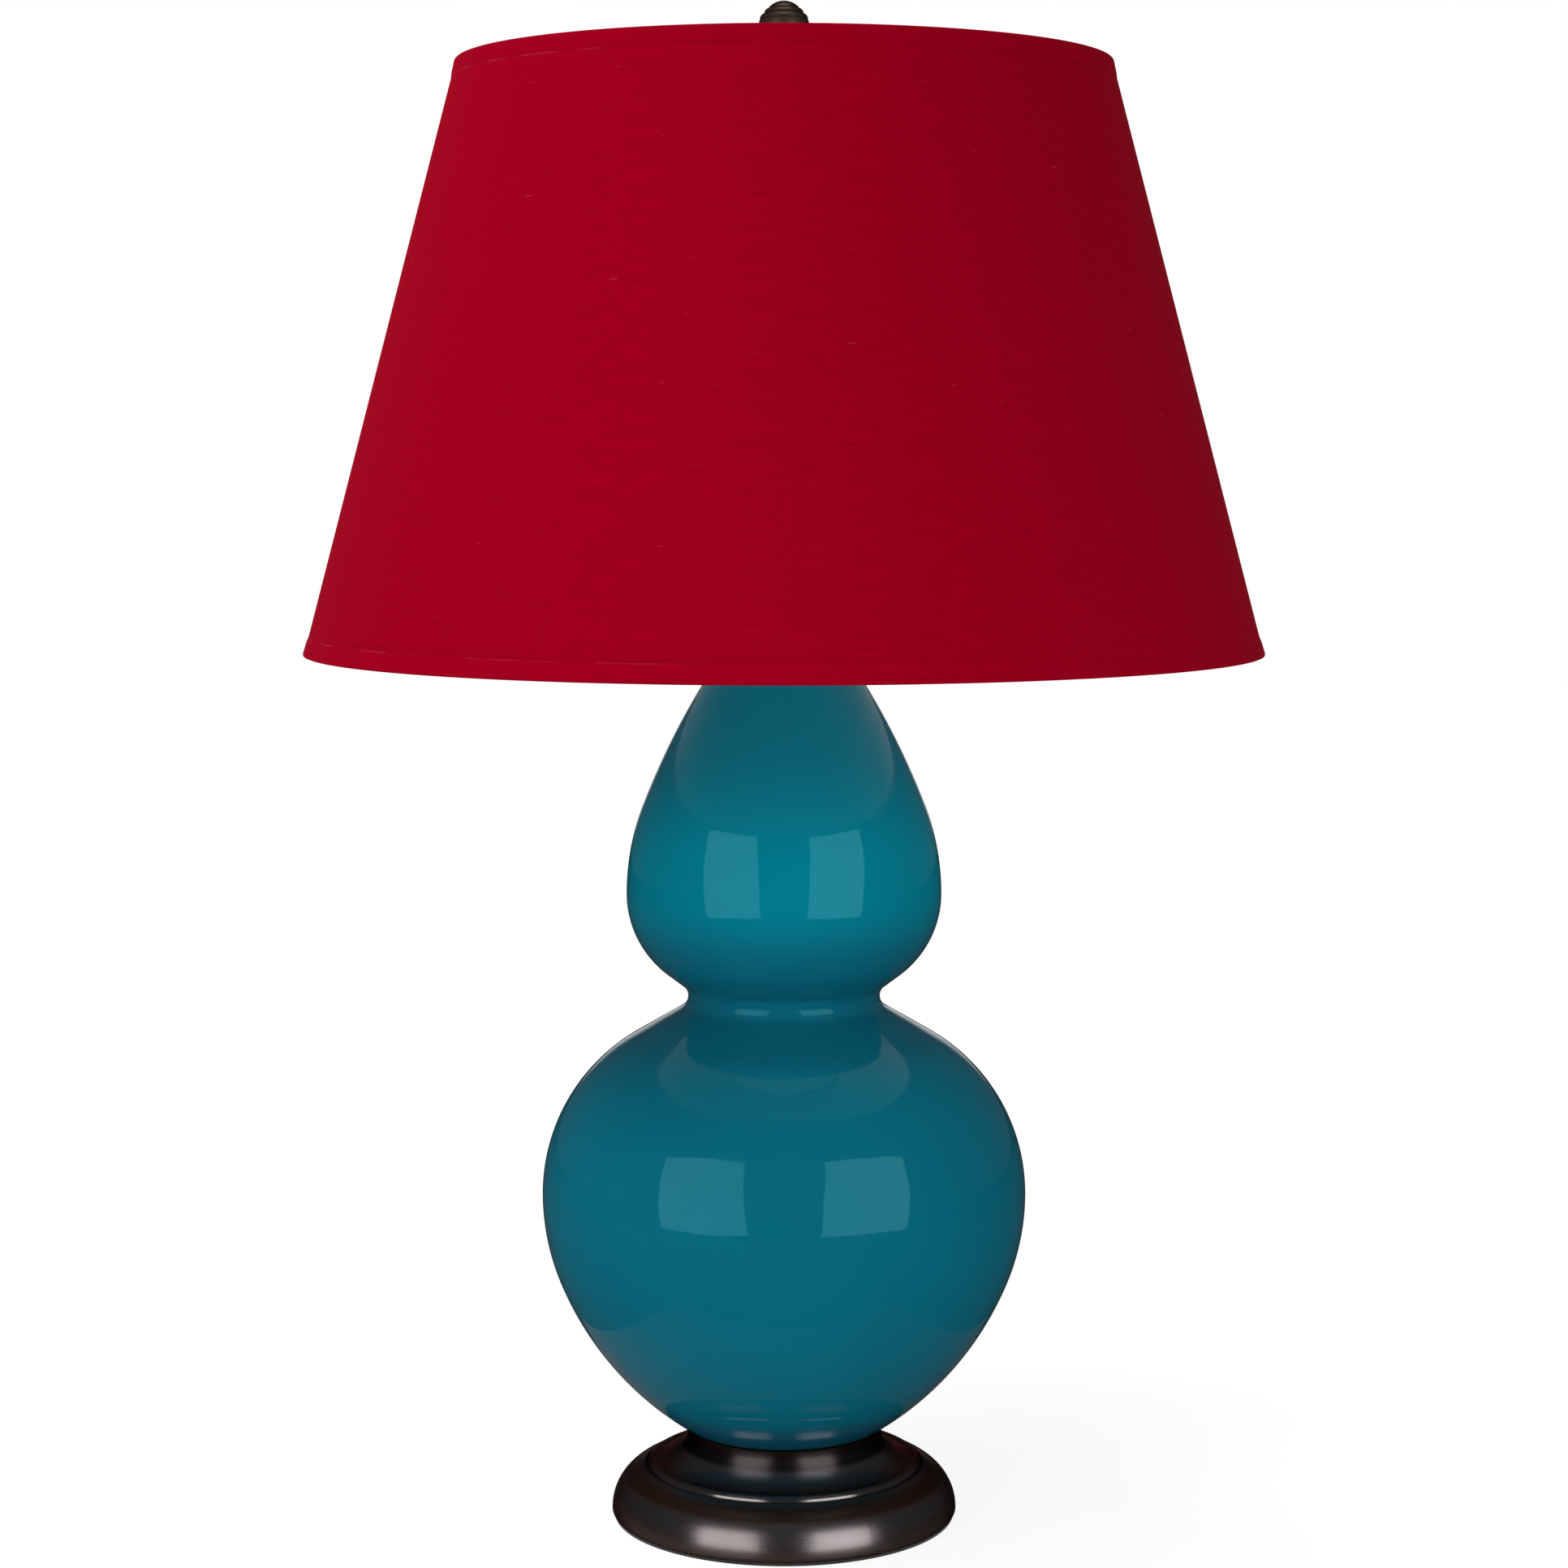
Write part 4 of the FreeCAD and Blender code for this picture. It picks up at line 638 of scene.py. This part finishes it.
def set_world():
    """White for what is seen directly and through glass. Gloss shows it straight behind the
    lamp, half as bright overhead, and a dim room elsewhere."""
    world = bpy.data.worlds.new("studio")
    bpy.context.scene.world = world
    world.use_nodes = True
    tree = world.node_tree
    path = add(tree, "LightPath")
    seen = add(tree, "Math", {0: path.outputs["Is Camera Ray"],
                              1: path.outputs["Is Transmission Ray"]},
               operation="MAXIMUM").outputs[0]
    towards = add(tree, "SeparateXYZ", {0: add(tree, "TexCoord").outputs["Generated"]})
    behind = add(tree, "MapRange", {"Value": towards.outputs["Y"], "From Min": BEHIND,
                                    "From Max": 1.0, "To Min": ROOM,
                                    "To Max": BACKDROP}).outputs[0]
    overhead = add(tree, "MapRange", {"Value": towards.outputs["Z"], "From Min": OVERHEAD[0],
                                      "From Max": OVERHEAD[1], "To Min": 0.0,
                                      "To Max": CEILING}).outputs[0]
    gloss = add(tree, "Math", {0: behind, 1: overhead}, operation="MAXIMUM").outputs[0]
    other = add(tree, "Mix", {0: path.outputs["Is Glossy Ray"], NUMBER_A: AMBIENT,
                              NUMBER_B: gloss}).outputs[0]
    strength = add(tree, "Mix", {0: seen, NUMBER_A: other, NUMBER_B: 1.0}).outputs[0]
    tree.links.new(strength, tree.nodes["Background"].inputs["Strength"])
    tree.nodes["Background"].inputs["Color"].default_value = (1, 1, 1, 1)


def soft_box(name, place, target, size, power, roll=0.0, glossy=True):
    """A rectangular light, places and sizes in metres, rolled by some degrees about its aim."""
    data = bpy.data.lights.new(name, "AREA")
    data.shape = "RECTANGLE"
    data.size, data.size_y = size
    data.energy = power
    light = bpy.data.objects.new(name, data)
    light.location = place
    aim = (Vector(target) - Vector(place)).to_track_quat("-Z", "Y").to_matrix()
    light.rotation_euler = (aim @ Matrix.Rotation(math.radians(roll), 3, "Z")).to_euler()
    light.visible_camera = False
    light.visible_glossy = glossy
    bpy.context.scene.collection.objects.link(light)


def pale_floor():
    """A pale matt table top that keeps a faint shadow and is white to the camera. The lamp's
    gloss shows a small brown plinth under it, on a dark floor."""
    material = bpy.data.materials.new("pale_table_top")
    material.use_nodes = True
    tree = material.node_tree
    path = add(tree, "LightPath")
    seen = add(tree, "Math", {0: path.outputs["Is Camera Ray"],
                              1: path.outputs["Is Transmission Ray"]},
               operation="MAXIMUM").outputs[0]
    place = add(tree, "TexCoord").outputs["Object"]
    # white to the camera, and a little below it near the lamp so that the shadow shows
    thin = add(tree, "BsdfDiffuse", {"Color": linear("#8C8C8C")}).outputs[0]
    away = add(tree, "VectorMath", {0: place}, operation="LENGTH").outputs["Value"]
    level = add(tree, "MapRange", {"Value": away, "From Min": SHADOW_NEAR, "From Max": SHADOW_FAR,
                                   "To Min": SHADOW_GLOW, "To Max": 1.0}).outputs[0]
    glow = add(tree, "Emission", {"Color": (1, 1, 1, 1), "Strength": level}).outputs[0]
    lit = add(tree, "AddShader", {0: thin, 1: glow}).outputs[0]
    # plinth and dark floor to the gloss
    corner = add(tree, "SeparateXYZ", {0: place})
    aside = add(tree, "Math", {0: corner.outputs["X"]}, operation="ABSOLUTE").outputs[0]
    along = add(tree, "Math", {0: corner.outputs["Y"]}, operation="ABSOLUTE").outputs[0]
    narrow = add(tree, "Math", {0: aside, 1: PLINTH * MM}, operation="LESS_THAN").outputs[0]
    short = add(tree, "Math", {0: along, 1: PLINTH * MM}, operation="LESS_THAN").outputs[0]
    on_plinth = add(tree, "Math", {0: narrow, 1: short}, operation="MULTIPLY").outputs[0]
    stone = add(tree, "BsdfDiffuse", {"Color": linear("#7C6A5E")}).outputs[0]
    dark = add(tree, "BsdfDiffuse", {"Color": linear("#40362F")}).outputs[0]
    reflected = add(tree, "MixShader", {0: on_plinth, 1: dark, 2: stone}).outputs[0]
    # pale paper to all other light
    paper = add(tree, "BsdfDiffuse", {"Color": linear("#D0D0D0")}).outputs[0]
    table = add(tree, "MixShader", {0: path.outputs["Is Glossy Ray"], 1: paper,
                                    2: reflected}).outputs[0]
    shown = add(tree, "MixShader", {0: seen, 1: table, 2: lit}).outputs[0]
    tree.links.new(shown, tree.nodes["Material Output"].inputs["Surface"])
    mesh = bmesh.new()
    bmesh.ops.create_circle(mesh, cap_ends=True, segments=96, radius=TABLE_RADIUS)
    data = bpy.data.meshes.new("table_top")
    mesh.to_mesh(data)
    mesh.free()
    data.materials.append(material)
    floor = bpy.data.objects.new("table_top", data)
    bpy.context.scene.collection.objects.link(floor)


set_world()
pale_floor()
# the two boxes make the window-like reflections, the key lights the shade from the left
soft_box("left_box", (-0.87, -1.1, 0.45), (0, 0, 0.32), (1.04, 1.28), 8.3, roll=9)
soft_box("right_box", (0.87, -1.1, 0.45), (0, 0, 0.32), (1.04, 1.28), 8.8, roll=-9)
soft_box("key", (-1.1, -0.15, 2.45), (0, 0, 0.55), (1.0, 1.0), 37.0, glossy=False)

bpy.context.scene.view_settings.view_transform = "Standard"
